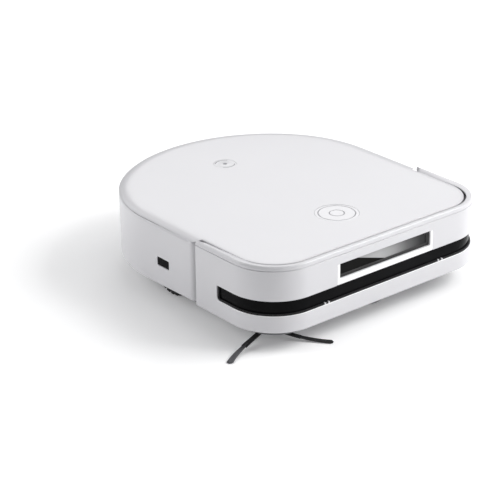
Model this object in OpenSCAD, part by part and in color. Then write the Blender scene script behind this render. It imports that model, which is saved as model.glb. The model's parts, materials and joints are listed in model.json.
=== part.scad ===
// Robot vacuum: a squared nose with a sprung bumper, a round tail, a lift-off cover over the dust bin,
// two sprung drive wheels, a caster, a main brush and one side brush.
// +Z is up, the nose points along -Y, and the floor is z = 0 below the middle of the body.

/* [Body] */
// Width across the bumper
body_w = 320; // [316:1:324]
// Length from the nose to the tail
body_l = 353; // [350:1:356]
// Height from the floor to the top of the bumper rim
body_h = 95; // [94:1:97]
// Radius of the two nose corners
corner_r = 54; // [50:1:58]
// Radius of the middle stretch of the tail
tail_r = 170; // [165:1:175]
// Radius where the sides turn into the tail
flank_r = 140; // [135:1:145]
// Height of the lower edge of the walls above the floor
skirt_z = 22; // [21:0.5:23]
// Height of the flat underside above the floor
belly_z = 12; // [11:0.5:13]
// Height of the seam between the wall and the cover
seam_z = 90; // [89:0.5:90.5]
// Thickness of the outer walls
wall = 2.5; // [2:0.1:3]
// How far the body wall stands back from the face of the bumper
shell_inset = 2; // [1.5:0.5:2.5]

/* [Bumper] */
// Where the side arms of the bumper end, from the middle of the body
bumper_end_y = -61; // [-64:1:-60]
// Where the body wall starts behind the bumper
shell_end_y = -56; // [-57:0.5:-55]
// How far the bumper gives way
bumper_travel = 3; // [2:0.5:3]
// Lower edge of the dark band
band_z0 = 40.5; // [39:0.5:42]
// Upper edge of the dark band
band_z1 = 57.4; // [56:0.2:58]
// Where the band ends on each side
band_end_y = -95.5; // [-98:0.5:-93]
// Width of the front window
window_w = 128.6; // [124:0.2:130]
// Lower edge of the front window
window_z0 = 63.8; // [63:0.2:66]
// Depth of the front window behind the face
window_depth = 2.7; // [1.5:0.1:3]
// Upper edge of the front window
window_z1 = 80.3; // [79:0.1:81]
// Width of the frame around the front window
bezel_w = 136.4; // [135:0.2:142]

/* [Cover] */
// Width of the rounded edge of the cover
cover_round = 14; // [12:1:16]
// Height of the rounded edge of the cover
cover_rise = 4.3; // [4:0.1:4.6]
// Gap between the face of the bumper and the cover, along the nose
cover_front_inset = 10; // [9:0.5:12]
// Distance of the start button from the middle of the body
start_y = 89; // [86:1:92]
// Radius of the start button
start_r = 13; // [11:0.5:14]
// Distance of the emblem from the middle of the body
emblem_y = -100; // [-104:1:-96]

/* [Wheels] */
// Radius of the drive wheels
wheel_r = 36; // [35:0.5:37]
// Width of a drive tyre
wheel_w = 22; // [20:1:24]
// Distance of a tyre's outer face from the middle of the body
wheel_x = 135; // [133:1:136]
// Distance of the drive axle from the middle of the body
wheel_y = 14; // [12:1:16]
// Radius of the caster wheel
caster_r = 12; // [11:0.5:12.5]
// Distance of the caster's swivel from the middle of the body
caster_y = -140.5; // [-141:0.25:-140]
// How far the caster wheel trails its swivel
caster_trail = 7; // [5:0.5:7]

/* [Brushes] */
// Radius of the main brush over its blades
roller_r = 23; // [22:0.5:23]
// Length of the bladed part of the main brush
roller_len = 160; // [150:2:162]
// Distance of the main brush from the middle of the body
roller_y = -48; // [-50:1:-47]
// Height of the main brush axis
roller_z = 26; // [25.5:0.5:27]
// Side brush axis, to the right of the middle
side_brush_x = -124; // [-125:0.5:-123]
// Side brush axis, ahead of the middle
side_brush_y = -131.5; // [-133:0.5:-130]
// Reach of the side brush arms
side_brush_r = 69; // [66:1:72]
// Direction of the root of the first side brush arm
side_brush_turn = 188; // [184:0.5:192]

/* [Dust bin] */
// Width of the dust bin
bin_w = 150; // [144:2:150]
// Depth of the dust bin
bin_d = 85; // [80:1:85]
// Front of the dust bin's well
bin_y = -7; // [-8:0.5:-6]

/* [Hidden] */

$fn = 72;
eps = 0.01;
big = 500;
run_gap = 0.05;         // radial clearance of a shaft that turns
slide_gap = 0.1;        // radial clearance of a button in its hole
part_gap = 0.1;         // clearance between two fixed pieces

half_w = body_w / 2;
nose_y = -body_l / 2;
tail_y = body_l / 2;
corner_x = half_w - corner_r;
corner_y = nose_y + corner_r;
tail_cy = tail_y + shell_inset - tail_r;
flank_x = half_w - flank_r;
flank_cy = tail_cy + sqrt(pow(tail_r - flank_r, 2) - pow(flank_x, 2));
tail_angle = atan2(flank_cy - tail_cy, flank_x);

cover_top = seam_z + cover_rise;
cover_t = 2.4;
deck_z = seam_z - 2;    // top face of the deck under the cover
deck_t = 2.5;
rim_w = 2.8;            // thickness of the bumper's rim
rim_z0 = seam_z + 0.5;  // crease where the rim starts
frame_inset = 10;       // front frame behind the face of the bumper
power_spot = [100, -70];

pivot_y = wheel_y - 32; // suspension pivot
pivot_z = wheel_r + 4;
pivot_r = 3;
arm_x0 = 92;
arm_x1 = 110;
housing_x0 = 88;
housing_x1 = 139.5;
housing_y0 = wheel_y - 43;
housing_y1 = wheel_y + 43;
housing_z1 = 79;

bin_z0 = 26.5;
bin_lid_z = 81;
bin_wall = 2;
well_w = bin_w + 6;
well_d = bin_d + 5;
well_t = 2;
well_z0 = 24;
inlet_w = 64;
inlet_z0 = 37;
inlet_z1 = 51;
outlet_z0 = 36;
outlet_z1 = 57;

fan_y = 125;
fan_r = 34;
fan_z0 = 28;
fan_z1 = 60;

battery_y0 = -115;
battery_y1 = -80;
battery_w = 136;

hinge_y = -14;          // brush guard hinge
hinge_z = 13;
guard_z = 9.5;          // underside of the brush guard

// ---------------------------------------------------------------- outlines

// Outline of the whole body, moved inwards by i
module outline(i) {
    translate([0, tail_cy]) intersection() {
        circle(r = tail_r - i, $fn = 180);
        polygon([[0, 0], [big * cos(tail_angle), big * sin(tail_angle)],
                 [-big * cos(tail_angle), big * sin(tail_angle)]]);
    }
    for (s = [-1, 1]) {
        translate([s * flank_x, flank_cy]) circle(r = flank_r - i, $fn = 144);
        translate([s * corner_x, corner_y]) circle(r = corner_r - i);
    }
    translate([-half_w + i, corner_y]) square([body_w - 2 * i, flank_cy - corner_y]);
    translate([-corner_x, nose_y + i]) square([2 * corner_x, flank_cy - nose_y - i]);
}

// Wall that follows the outline, from inset a to inset b
module ring(a, b) {
    difference() {
        outline(a);
        outline(b);
    }
}

// Everything behind the line y
module behind(y) {
    translate([-big / 2, y]) square([big, big]);
}

// Everything ahead of the line y
module ahead(y) {
    translate([-big / 2, y - big]) square([big, big]);
}

// A box from its lowest corner to its highest corner
module block(a, b) {
    translate(a) cube(b - a);
}

// A cylinder along X from x0 to x1
module rod_x(r, x0, x1, y, z) {
    translate([x0, y, z]) rotate([0, 90, 0]) cylinder(r = r, h = x1 - x0);
}

// A cylinder along Y from y0 to y1
module rod_y(r, x, y0, y1, z) {
    translate([x, y0, z]) rotate([-90, 0, 0]) cylinder(r = r, h = y1 - y0);
}

// A flat box with rounded upright edges
module slab(size, r, h) {
    linear_extrude(h) rounded(size, r);
}

module rounded(size, r) {
    for (s = [-1, 1], t = [-1, 1])
        translate([s * (size[0] / 2 - r), t * (size[1] / 2 - r)]) circle(r = r, $fn = 32);
    square([size[0] - 2 * r, size[1]], center = true);
    square([size[0], size[1] - 2 * r], center = true);
}

// Sweeps a cross-section around the body outline. The cross-section has x as the inset, moved to
// the left of the origin, and y as the height. parts picks nose, sides and tail.
module sweep_nose() {
    for (s = [0, 1]) mirror([s, 0, 0]) {
        translate([corner_x, corner_y, 0]) rotate_extrude(angle = 90, start = -90)
            translate([corner_r, 0]) children();
    }
    translate([-corner_x, corner_y, 0]) rotate([90, 0, 90]) linear_extrude(2 * corner_x)
        mirror([1, 0]) translate([corner_r, 0]) children();
}

module sweep_sides(y0, y1) {
    for (s = [0, 1]) mirror([s, 0, 0])
        translate([half_w, y1, 0]) rotate([90, 0, 0]) linear_extrude(y1 - y0) children();
}

module sweep_tail() {
    for (s = [0, 1]) mirror([s, 0, 0])
        translate([flank_x, flank_cy, 0]) rotate_extrude(angle = tail_angle, $fn = 144)
            translate([flank_r, 0]) children();
    translate([0, tail_cy, 0]) rotate_extrude(angle = 180 - 2 * tail_angle, start = tail_angle, $fn = 180)
        translate([tail_r, 0]) children();
}

// ---------------------------------------------------------------- body

screw_spots = [[-112, 92], [112, 92], [-60, 145], [60, 145], [-100, -88], [100, -88], [-38, -152], [38, -152]];
cliff_spots = [[-62, -150], [62, -150], [-128, -78], [128, -78], [-100, 108], [100, 108]];
cliff_size = [20, 9];

// Underside of the body: a shallow pan with openings for the wheels, brushes and battery
module chassis_base() {
    color("dimgray") difference() {
        union() {
            difference() {
                hull() {
                    translate([0, 0, belly_z]) linear_extrude(0.4) outline(17);
                    translate([0, 0, skirt_z - 0.4]) linear_extrude(0.4) outline(8);
                }
                hull() {
                    translate([0, 0, belly_z + 3]) linear_extrude(0.4) outline(19.5);
                    translate([0, 0, skirt_z]) linear_extrude(0.4) outline(10.5);
                }
            }
            for (p = screw_spots)
                translate([p[0], p[1], belly_z + 2.9]) cylinder(r = 4, h = 9, $fn = 32);
            for (s = [-1, 1])
                block([s * 66 - 12, hinge_y - 4, belly_z + 1], [s * 66 + 12, hinge_y + 6, belly_z + 6]);
        }
        // wheel wells
        for (s = [0, 1]) mirror([s, 0, 0])
            block([housing_x0 - part_gap, housing_y0 - part_gap, 0],
                  [housing_x1 + part_gap, housing_y1 + part_gap, 40]);
        // main brush
        block([-tunnel_x - 0.6, roller_y - 28.7, 0], [tunnel_x + 0.6, roller_y + 28.7, 40]);
        // caster
        translate([0, caster_y, 0]) cylinder(r = socket_r + 0.2, h = 40);
        // battery
        translate([0, (battery_y0 + battery_y1) / 2, 0]) slab([battery_w + 8, battery_y1 - battery_y0 + 0.4], 3, 40);
        // side brush
        translate([side_brush_x, side_brush_y, 0]) cylinder(r = hub_r + 0.6, h = 40, $fn = 64);
        // cliff windows
        for (p = cliff_spots)
            translate([p[0], p[1], 0]) slab(cliff_size + [0.2, 0.2], 2, 14);
        for (p = screw_spots) translate([p[0], p[1], 0]) {
            cylinder(r = 1.5, h = 40, $fn = 32);
            cylinder(r = 3.1, h = 14, $fn = 32);
        }
        // knuckles of the brush guard
        for (s = [-1, 1])
            block([s * 66 - 6.4, roller_y, 0], [s * 66 + 6.4, hinge_y + 4, 40]);
    }
    // hinge pins of the brush guard
    color("dimgray") for (s = [-1, 1])
        rod_x(1.2, s * 66 - 9, s * 66 + 9, hinge_y, hinge_z);
}

// White side wall from the bumper round the tail
module side_shell() {
    color("white") difference() {
        union() {
            translate([0, 0, skirt_z]) linear_extrude(seam_z - skirt_z) {
                intersection() {
                    ring(shell_inset, shell_inset + wall);
                    behind(shell_end_y + 5);
                }
                for (s = [0, 1]) mirror([s, 0]) shell_return();
            }
            // foot that joins the wall to the pan
            translate([0, 0, skirt_z]) linear_extrude(2) intersection() {
                ring(shell_inset + 1, 11);
                behind(shell_end_y + 8);
            }
        }
        side_sensor_hole(0);
        grille_hole(part_gap);
        for (s = [-1, 1]) contact_block(s, part_gap);
        outer_groove();
    }
}

// Rounded end of the wall, which turns in behind the bumper
module shell_return() {
    r = 5;
    x = half_w - shell_inset;
    translate([x - r, shell_end_y + r]) difference() {
        circle(r = r, $fn = 48);
        circle(r = r - wall, $fn = 48);
        translate([-big, -big / 2]) square([big, big]);
        translate([-big / 2, 0]) square([big, big]);
    }
    translate([x - 11, shell_end_y]) square([11 - r, wall]);
}

// Fine line below the cover seam
module outer_groove() {
    translate([0, 0, seam_z - 2.2]) linear_extrude(0.5) difference() {
        outline(0);
        outline(shell_inset + 0.35);
        ahead(shell_end_y + 6);
    }
}

module side_sensor_hole(g) {
    block([-half_w - 1, -12.4 - g, 43.8 - g], [-half_w + 8, 8 + g, 53.8 + g]);
}

module grille_hole(g) {
    block([-46 - g, tail_y - 20, 38 - g], [46 + g, tail_y + 5, 68 + g]);
}

module contact_block(s, g) {
    block([s * 27 - 9 - g, tail_y - 16, 26 - g], [s * 27 + 9 + g, tail_y + 5, 33 + g]);
}

// Wall behind the bumper, which carries the sensors
module front_frame() {
    color("gray") difference() {
        union() {
            translate([0, 0, skirt_z + 2.2]) linear_extrude(deck_z - deck_t - skirt_z - 2.3) intersection() {
                ring(frame_inset, frame_inset + wall);
                ahead(shell_end_y - part_gap);
            }
            // foot that stands on the pan
            translate([0, 0, skirt_z]) linear_extrude(2.3) intersection() {
                ring(frame_inset - 1, frame_inset + 3);
                ahead(shell_end_y - part_gap);
            }
            // guides for the bumper pins
            for (s = [-1, 1]) rod_y(5, s * 34, nose_y + frame_inset, nose_y + frame_inset + 12, 31);
        }
        for (s = [-1, 1])
            rod_y(2.5 + run_gap, s * 34, nose_y, nose_y + 40, 31);
        block([-58.2, nose_y, 62.8], [58.2, nose_y + 30, big]);
        rod_y(9.1, 0, nose_y, nose_y + 40, 49);
        for (s = [-1, 1]) block([s * 42 - 8.1, nose_y, 42.9], [s * 42 + 8.1, nose_y + 40, 55.1]);
    }
}

// Deck under the cover, around the dust bin's well
module top_deck() {
    color("gainsboro") difference() {
        union() {
            translate([0, 0, deck_z - deck_t]) linear_extrude(deck_t) {
                intersection() {
                    outline(shell_inset + wall + part_gap);
                    behind(shell_end_y + 9);
                }
                outline(frame_inset - 4);
            }
            // posts for the main board
            for (s = [-1, 1], y = [-122, -36])
                translate([s * 78, y, 75.6]) cylinder(r = 3.5, h = deck_z - deck_t - 75.5, $fn = 32);
        }
        translate([0, bin_y + well_d / 2, 80]) slab([well_w - 2 * well_t, well_d - 2 * well_t], 5, 20);
        translate([power_spot[0], power_spot[1], 80]) cylinder(r = 6 + slide_gap, h = 20, $fn = 48);
        // room for the rounded ends of the body wall
        for (s = [0, 1]) mirror([s, 0, 0])
            block([half_w - shell_inset - 11.2, shell_end_y - 0.2, 80], [half_w, shell_end_y + 5.2, 100]);
        // finger recess beside the bin
        translate([0, bin_y + well_d + 2, deck_z - 1.2]) cylinder(r = 14, h = 5);
    }
}

// Tub that the dust bin drops into
module bin_well() {
    z1 = deck_z - deck_t - part_gap;
    color("silver") difference() {
        translate([0, bin_y + well_d / 2, well_z0]) slab([well_w, well_d], 7, z1 - well_z0);
        translate([0, bin_y + well_d / 2, well_z0 + well_t])
            slab([well_w - 2 * well_t, well_d - 2 * well_t], 5, z1);
        block([-inlet_w / 2, bin_y - 5, inlet_z0], [inlet_w / 2, bin_y + 5, inlet_z1]);
        block([-40, bin_y + well_d - 5, outlet_z0], [40, bin_y + well_d + 5, outlet_z1]);
    }
}

// Slotted outlet for the fan, in the tail
module exhaust_grille() {
    color("gainsboro") difference() {
        translate([0, 0, 38]) linear_extrude(30) intersection() {
            ring(shell_inset + 0.4, shell_inset + 2.6);
            translate([-46, tail_y - 20]) square([92, 30]);
        }
        for (i = [-5 : 5])
            block([i * 8 - 2, tail_y - 20, 42], [i * 8 + 2, tail_y + 5, 64]);
    }
}

module side_sensor_window() {
    color("black") intersection() {
        side_sensor_hole(-part_gap);
        block([-half_w + shell_inset + 0.4, -20, 40], [-half_w + shell_inset + 2.4, 20, 60]);
    }
}

// Two metal plates that meet the dock
module charging_contacts() {
    color("goldenrod") for (s = [-1, 1]) intersection() {
        contact_block(s, 0);
        linear_extrude(big) ring(shell_inset + 0.2, shell_inset + 2.2);
    }
}

module battery_pack() {
    color("royalblue") translate([0, (battery_y0 + battery_y1) / 2, belly_z + 4])
        slab([battery_w, battery_y1 - battery_y0 - 0.2], 6, 37);
    color("black") block([battery_w / 2 - 0.01, -104, 30], [battery_w / 2 + 5, -92, 38]);
}

// Door of the battery bay, flush with the underside
module battery_cover() {
    color("dimgray") translate([0, (battery_y0 + battery_y1) / 2, belly_z])
        slab([battery_w + 7.6, battery_y1 - battery_y0], 3, 3);
}

module main_board() {
    color("darkgreen") block([-84, -126, 74], [84, -30, 75.6]);
    color("black") {
        block([-50, -95, 75.6], [-26, -71, 77.8]);
        block([8, -90, 75.6], [26, -72, 77.4]);
        block([40, -60, 75.6], [60, -48, 78]);
    }
    color("ivory") for (x = [-66, -40, -14, 12, 38])
        block([x, -124, 75.6], [x + 16, -118, 81]);
}

// ---------------------------------------------------------------- fan

// Scroll housing of the suction fan, with its inlet towards the dust bin
module fan_housing() {
    color("dimgray") difference() {
        union() {
            translate([0, fan_y, fan_z0]) cylinder(r = fan_r + 3, h = fan_z1 - fan_z0);
            block([-44, bin_y + well_d + 0.1, outlet_z0 - 4], [44, fan_y - 10, fan_z1]);
            for (s = [-1, 1], t = [-1, 1])
                translate([s * 24, fan_y + t * 22, belly_z + 3]) cylinder(r = 4, h = fan_z0 - belly_z - 2, $fn = 32);
        }
        translate([0, fan_y, fan_z0 + 2]) cylinder(r = fan_r, h = fan_z1 - fan_z0 - 4);
        block([-40, bin_y + well_d - 1, outlet_z0], [40, fan_y - 30, fan_z1 - 2]);
        translate([0, fan_y, fan_z1 - 3]) cylinder(r = 13 + part_gap, h = 10);
        block([-20, fan_y + 20, fan_z0 + 6], [20, fan_y + 60, fan_z1 - 6]);
    }
}

module fan_motor() {
    color("silver") translate([0, fan_y, fan_z1 - 2]) difference() {
        union() {
            cylinder(r = 13, h = 16);
            translate([0, 0, 2.1]) cylinder(r = 18, h = 2);
        }
        translate([0, 0, -1]) cylinder(r = 2 + run_gap, h = 14, $fn = 32);
    }
}

module fan_impeller() {
    color("black") translate([0, fan_y, fan_z0 + 5]) {
        cylinder(r = fan_r - 5, h = 1.6);
        cylinder(r = 7, h = 19);
        cylinder(r = 2, h = 36, $fn = 32);
        for (a = [0 : 30 : 330]) rotate(a)
            translate([6, 0, 1.5]) rotate(-18) cube([22, 1.4, 15]);
    }
}

// ---------------------------------------------------------------- caster

stem_r = 3;
socket_r = 22.5;
socket_z1 = 37;
fork_r = 19;
fork_z0 = 27;

// Cup in the underside that the caster turns in
module caster_socket() {
    color("black") translate([0, caster_y, 0]) difference() {
        union() {
            translate([0, 0, belly_z]) cylinder(r = socket_r, h = socket_z1 - belly_z);
            translate([0, 0, socket_z1 - 1]) cylinder(r = 8, h = 12);
        }
        translate([0, 0, belly_z - 1]) cylinder(r = socket_r - 2, h = socket_z1 - belly_z - 1.5);
        translate([0, 0, 20]) cylinder(r = stem_r + run_gap, h = 40, $fn = 48);
    }
}

// Turning fork with two ears
module caster_fork() {
    color("gray") translate([0, caster_y, 0]) {
        difference() {
            union() {
                translate([0, 0, fork_z0]) cylinder(r = fork_r, h = 6.5);
                intersection() {
                    for (s = [-1, 1]) {
                        block([s * 11 - 2, -5, caster_r], [s * 11 + 2, caster_trail + 5, fork_z0 + 1]);
                        rod_x(5, s * 11 - 2, s * 11 + 2, caster_trail, caster_r);
                    }
                    cylinder(r = fork_r + 0.8, h = 60);
                }
            }
            rod_x(2 + run_gap / 2, -20, 20, caster_trail, caster_r);
            rod_x(caster_r + 1.5, -9, 9, caster_trail, caster_r);
        }
        translate([0, 0, fork_z0 + 6]) cylinder(r = stem_r, h = 17, $fn = 48);
    }
}

module caster_axle() {
    color("silver") rod_x(2, -12.9, 12.9, caster_y + caster_trail, caster_r);
}

module caster_wheel() {
    color("whitesmoke") difference() {
        union() {
            rod_x(caster_r, -5, 5, caster_y + caster_trail, caster_r);
            for (s = [-1, 1])
                rod_x(caster_r - 2.5, s * 6.5 - 1.6, s * 6.5 + 1.6, caster_y + caster_trail, caster_r);
        }
        rod_x(2 + run_gap, -20, 20, caster_y + caster_trail, caster_r);
    }
}

// ---------------------------------------------------------------- main brush

tunnel_r = roller_r + 3.5;
tunnel_t = 2;
tunnel_x = 87.5;

// Arched channel over the main brush, with a duct to the dust bin
module brush_tunnel() {
    duct_y1 = bin_y - part_gap;
    color("dimgray") difference() {
        union() {
            rod_x(tunnel_r + tunnel_t, -tunnel_x, tunnel_x, roller_y, roller_z);
            block([-tunnel_x, roller_y - tunnel_r - tunnel_t, belly_z],
                  [tunnel_x, roller_y + tunnel_r + tunnel_t, roller_z]);
            block([-inlet_w / 2 - 2, roller_y, inlet_z0 - 2], [inlet_w / 2 + 2, duct_y1, inlet_z1 + 2]);
        }
        rod_x(tunnel_r, -tunnel_x + tunnel_t, tunnel_x - tunnel_t, roller_y, roller_z);
        block([-tunnel_x + tunnel_t, roller_y - tunnel_r, 0],
              [tunnel_x - tunnel_t, roller_y + tunnel_r, roller_z]);
        block([-inlet_w / 2, roller_y + 2, inlet_z0], [inlet_w / 2, 0, inlet_z1]);
        block([-big, -big, -big], [big, big, belly_z]);
        rod_x(4.5, -big / 2, big / 2, roller_y, roller_z);
        // room for the knuckles of the brush guard
        for (s = [-1, 1]) block([s * 66 - 6.4, roller_y + 20, 0], [s * 66 + 6.4, 20, 17]);
    }
}

// Bearing blocks at the two ends of the main brush
module brush_bearings() {
    color("firebrick") for (s = [0, 1]) mirror([s, 0, 0]) difference() {
        rod_x(9, roller_len / 2 + 3, tunnel_x - tunnel_t - part_gap, roller_y, roller_z);
        rod_x(4 + run_gap, 0, 100, roller_y, roller_z);
    }
}

// Motor and gears that turn the main brush, beside its left end
module brush_gearbox() {
    color("black") difference() {
        union() {
            block([tunnel_x + 0.3, roller_y - 24, belly_z + 4], [tunnel_x + 18, roller_y + 16, 44]);
            rod_x(13, tunnel_x + 0.3, tunnel_x + 36, roller_y - 12, 58);
            block([tunnel_x + 0.3, roller_y - 24, 43], [tunnel_x + 14, roller_y + 1, 58]);
        }
        rod_x(4.2, 0, tunnel_x + 12, roller_y, roller_z);
    }
}

module brush_core() {
    color("dimgray") {
        rod_x(13, -roller_len / 2, roller_len / 2, roller_y, roller_z);
        rod_x(4, -tunnel_x - 0.2, tunnel_x + 8, roller_y, roller_z);
    }
}

blade_count = 6;

module brush_blades() {
    color("black") difference() {
        translate([0, roller_y, roller_z]) for (i = [0 : blade_count - 1])
            rotate([i * 360 / blade_count, 0, 0])
                block([-roller_len / 2 + 1, -1.2, 10], [roller_len / 2 - 1, 1.2, roller_r]);
        rod_x(13 + run_gap, -big / 2, big / 2, roller_y, roller_z);
    }
}

// Removable frame around the main brush opening, hinged at its rear edge
module brush_guard() {
    y0 = roller_y - 30;
    y1 = roller_y + 28;
    color("slategray") difference() {
        union() {
            difference() {
                translate([0, (y0 + y1) / 2, guard_z]) slab([178, y1 - y0], 4, belly_z - guard_z - 0.1);
                block([-roller_len / 2 - 2, roller_y - 20, 0], [roller_len / 2 + 2, roller_y + 20, 30]);
            }
            for (s = [-1, 1]) {
                rod_x(3, s * 66 - 6, s * 66 + 6, hinge_y, hinge_z);
                block([s * 66 - 6, y1 - 4, guard_z], [s * 66 + 6, hinge_y, belly_z - 0.1]);
                // finger latches along the front
                block([s * 50 - 9, y0 - 3, guard_z], [s * 50 + 9, y0 + 3, belly_z - 0.1]);
            }
        }
        rod_x(1.2 + run_gap, -big / 2, big / 2, hinge_y, hinge_z);
    }
}

// ---------------------------------------------------------------- side brush

hub_z = 9.8;
hub_r = 10;

module side_brush_motor() {
    color("black") translate([side_brush_x, side_brush_y, 0]) difference() {
        union() {
            translate([0, 0, belly_z + 3.1]) cylinder(r = hub_r + 3, h = 5);
            translate([0, 0, belly_z + 8]) cylinder(r = 15, h = 14);
            translate([0, 0, belly_z + 21]) cylinder(r = 11, h = 22);
        }
        cylinder(r = 3 + run_gap, h = belly_z + 16, $fn = 48);
    }
}

module side_brush_hub() {
    color("dimgray") translate([side_brush_x, side_brush_y, 0]) {
        translate([0, 0, hub_z]) cylinder(r = hub_r, h = 4, $fn = 64);
        translate([0, 0, hub_z + 3]) cylinder(r = 3, h = 14, $fn = 48);
    }
}

// Three arms that droop from the hub to the floor and curve towards their tips
arm_steps = 6;
arm_bend = [9.4, 1.2, 5];
function arm_s(k) = k / arm_steps;
function arm_radius(k) = 9 + (side_brush_r - 9) * arm_s(k);
function arm_height(k) = 0.8 + 9.8 * pow(1 - arm_s(k), 1.9);
function arm_point(a, bend, k) =
    [arm_radius(k) * cos(a + bend * pow(arm_s(k), 2)), arm_radius(k) * sin(a + bend * pow(arm_s(k), 2)),
     arm_height(k)];

module arm(a, bend) {
    for (k = [0 : 2 : arm_steps - 2]) hull() {
        for (j = [0 : 2])
            translate(arm_point(a, bend, k + j)) rotate(a + 3 * bend * pow(arm_s(k + j), 2))
                cube([1.5, 4.2 - 0.25 * (k + j), 1.2], center = true);
    }
}

module side_brush_arms() {
    color("black") translate([side_brush_x, side_brush_y, 0]) difference() {
        for (i = [0 : 2]) arm(side_brush_turn + 120 * i, arm_bend[i]);
        translate([0, 0, -1]) cylinder(r = hub_r + run_gap, h = 30, $fn = 64);
    }
}

// ---------------------------------------------------------------- drive wheels

// Open-bottomed box that a wheel and its arm move in; the left one, mirrored for the right
module wheel_housing() {
    t = 2;
    color("black") {
        difference() {
            block([housing_x0, housing_y0, belly_z], [housing_x1, housing_y1, housing_z1]);
            block([housing_x0 + t, housing_y0 + t, 0], [housing_x1 - t, housing_y1 - t, housing_z1 - t]);
        }
        rod_x(pivot_r, housing_x0 + 1, arm_x1 + 1, pivot_y, pivot_z);
    }
}

module wheel_arm() {
    color("dimgray") difference() {
        union() {
            hull() {
                translate([arm_x0, pivot_y, pivot_z]) rotate([0, 90, 0])
                    cylinder(r = 8, h = arm_x1 - arm_x0, $fn = 32);
                translate([arm_x0, wheel_y, wheel_r]) rotate([0, 90, 0])
                    cylinder(r = 17, h = arm_x1 - arm_x0, $fn = 32);
            }
            rod_x(4, arm_x1 - 1, wheel_x - 6, wheel_y, wheel_r);
            rod_x(3, arm_x0 + 2, arm_x1 - 2, wheel_y + 12, wheel_r + 22);
            block([arm_x0 + 2, wheel_y + 8, wheel_r + 6], [arm_x1 - 2, wheel_y + 14, wheel_r + 22]);
        }
        rod_x(pivot_r + run_gap, 0, 200, pivot_y, pivot_z);
    }
}

module wheel_rim() {
    x1 = wheel_x - 1;
    x0 = wheel_x - wheel_w + 1;
    color("gray") difference() {
        union() {
            difference() {
                rod_x(wheel_r - 6, x0, x1, wheel_y, wheel_r);
                rod_x(wheel_r - 9, x1 - 4, x1 + 5, wheel_y, wheel_r);
                rod_x(wheel_r - 9, x0 - 5, x0 + 4, wheel_y, wheel_r);
            }
            rod_x(9, x1 - 8, x1 - 2, wheel_y, wheel_r);
        }
        rod_x(4 + run_gap, 0, wheel_x - 5.5, wheel_y, wheel_r);
    }
}

tread_count = 30;

module tyre() {
    color("black") difference() {
        rod_x(wheel_r, wheel_x - wheel_w, wheel_x, wheel_y, wheel_r);
        rod_x(wheel_r - 5.95, 0, 200, wheel_y, wheel_r);
        translate([0, wheel_y, wheel_r]) for (i = [0 : tread_count - 1])
            rotate([(i + 0.5) * 360 / tread_count, 0, 0]) {
                block([wheel_x - 7, -1.4, wheel_r - 2], [wheel_x + 1, 1.4, wheel_r + 2]);
                block([wheel_x - wheel_w - 1, -1.4, wheel_r - 2], [wheel_x - wheel_w + 7, 1.4, wheel_r + 2]);
            }
    }
}

// Spring that pushes the wheel down, drawn as a sleeve around its coils
module suspension_spring() {
    x = (arm_x0 + arm_x1) / 2;
    color("silver") translate([x, wheel_y + 12, wheel_r + 25.2]) difference() {
        cylinder(r = 5, h = housing_z1 - 2 - wheel_r - 25.4, $fn = 48);
        translate([0, 0, -1]) cylinder(r = 3.4, h = 40, $fn = 48);
    }
}

// ---------------------------------------------------------------- sensors

module front_camera() {
    color("black") difference() {
        union() {
            rod_y(9, 0, nose_y + 8.6, nose_y + 24, 49);
            block([-14, nose_y + 14, 40], [14, nose_y + 24, 58]);
        }
        rod_y(6.5, 0, nose_y, nose_y + 12, 49);
    }
}

module camera_lens() {
    color("navy") intersection() {
        rod_y(6.4, 0, nose_y + 8, nose_y + 11.9, 49);
        translate([0, nose_y + 18.7, 49]) sphere(r = 10, $fn = 72);
    }
}

module depth_sensor() {
    color("black") difference() {
        block([-57, nose_y + 8.5, 64], [57, nose_y + 22, 83.5]);
        for (x = [-40, 40]) rod_y(7, x, nose_y, nose_y + 13, 73);
        rod_y(4, 0, nose_y, nose_y + 12, 73);
    }
}

module depth_sensor_lenses() {
    color("navy") {
        for (x = [-40, 40]) rod_y(6.9, x, nose_y + 10, nose_y + 12.9, 73);
        rod_y(3.9, 0, nose_y + 10, nose_y + 11.9, 73);
    }
}

// Two line lasers beside the camera
module line_lasers() {
    color("black") for (s = [-1, 1]) {
        difference() {
            block([s * 42 - 8, nose_y + 8.6, 43], [s * 42 + 8, nose_y + 22, 55]);
            rod_y(4, s * 42, nose_y, nose_y + 11, 49);
        }
        rod_y(2.2, s * 42, nose_y + 9.5, nose_y + 11.5, 49);
    }
}

module bumper_switches() {
    color("red") for (s = [-1, 1]) {
        block([s * 90 - 7, nose_y + wall + bumper_travel + 0.5, 26],
              [s * 90 + 7, nose_y + frame_inset - part_gap, 35]);
    }
}

// Return springs of the bumper, drawn as sleeves around their coils
module bumper_springs() {
    color("silver") for (s = [-1, 1]) difference() {
        rod_y(4, s * 62, nose_y + wall + part_gap, nose_y + frame_inset - part_gap, 31);
        rod_y(2.8, s * 62, nose_y, nose_y + 20, 31);
    }
}

module cliff_windows() {
    color("black") for (p = cliff_spots)
        translate([p[0], p[1], belly_z + 0.3]) slab(cliff_size, 2, 1.6);
}

module base_screws() {
    color("silver") for (p = screw_spots) translate([p[0], p[1], belly_z + 0.2]) {
        difference() {
            cylinder(r = 2.9, h = 1.7, $fn = 32);
            for (a = [0, 90]) rotate(a) block([-1.6, -0.3, -1], [1.6, 0.3, 0.7]);
        }
        cylinder(r = 1.45, h = 12, $fn = 32);
    }
}

// ---------------------------------------------------------------- bumper

// Cross-section of the rim above the crease
module rim_section() {
    h = body_h - rim_z0;
    steps = 6;
    polygon(concat(
        [for (k = [0 : steps]) [-0.3 - 1.6 * (1 - cos(90 * k / steps)), rim_z0 + h * sin(90 * k / steps)]],
        [[-rim_w, body_h - 0.2], [-rim_w, rim_z0], [-wall, rim_z0 - 3], [-0.3, rim_z0 - 0.02]]));
}

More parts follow.
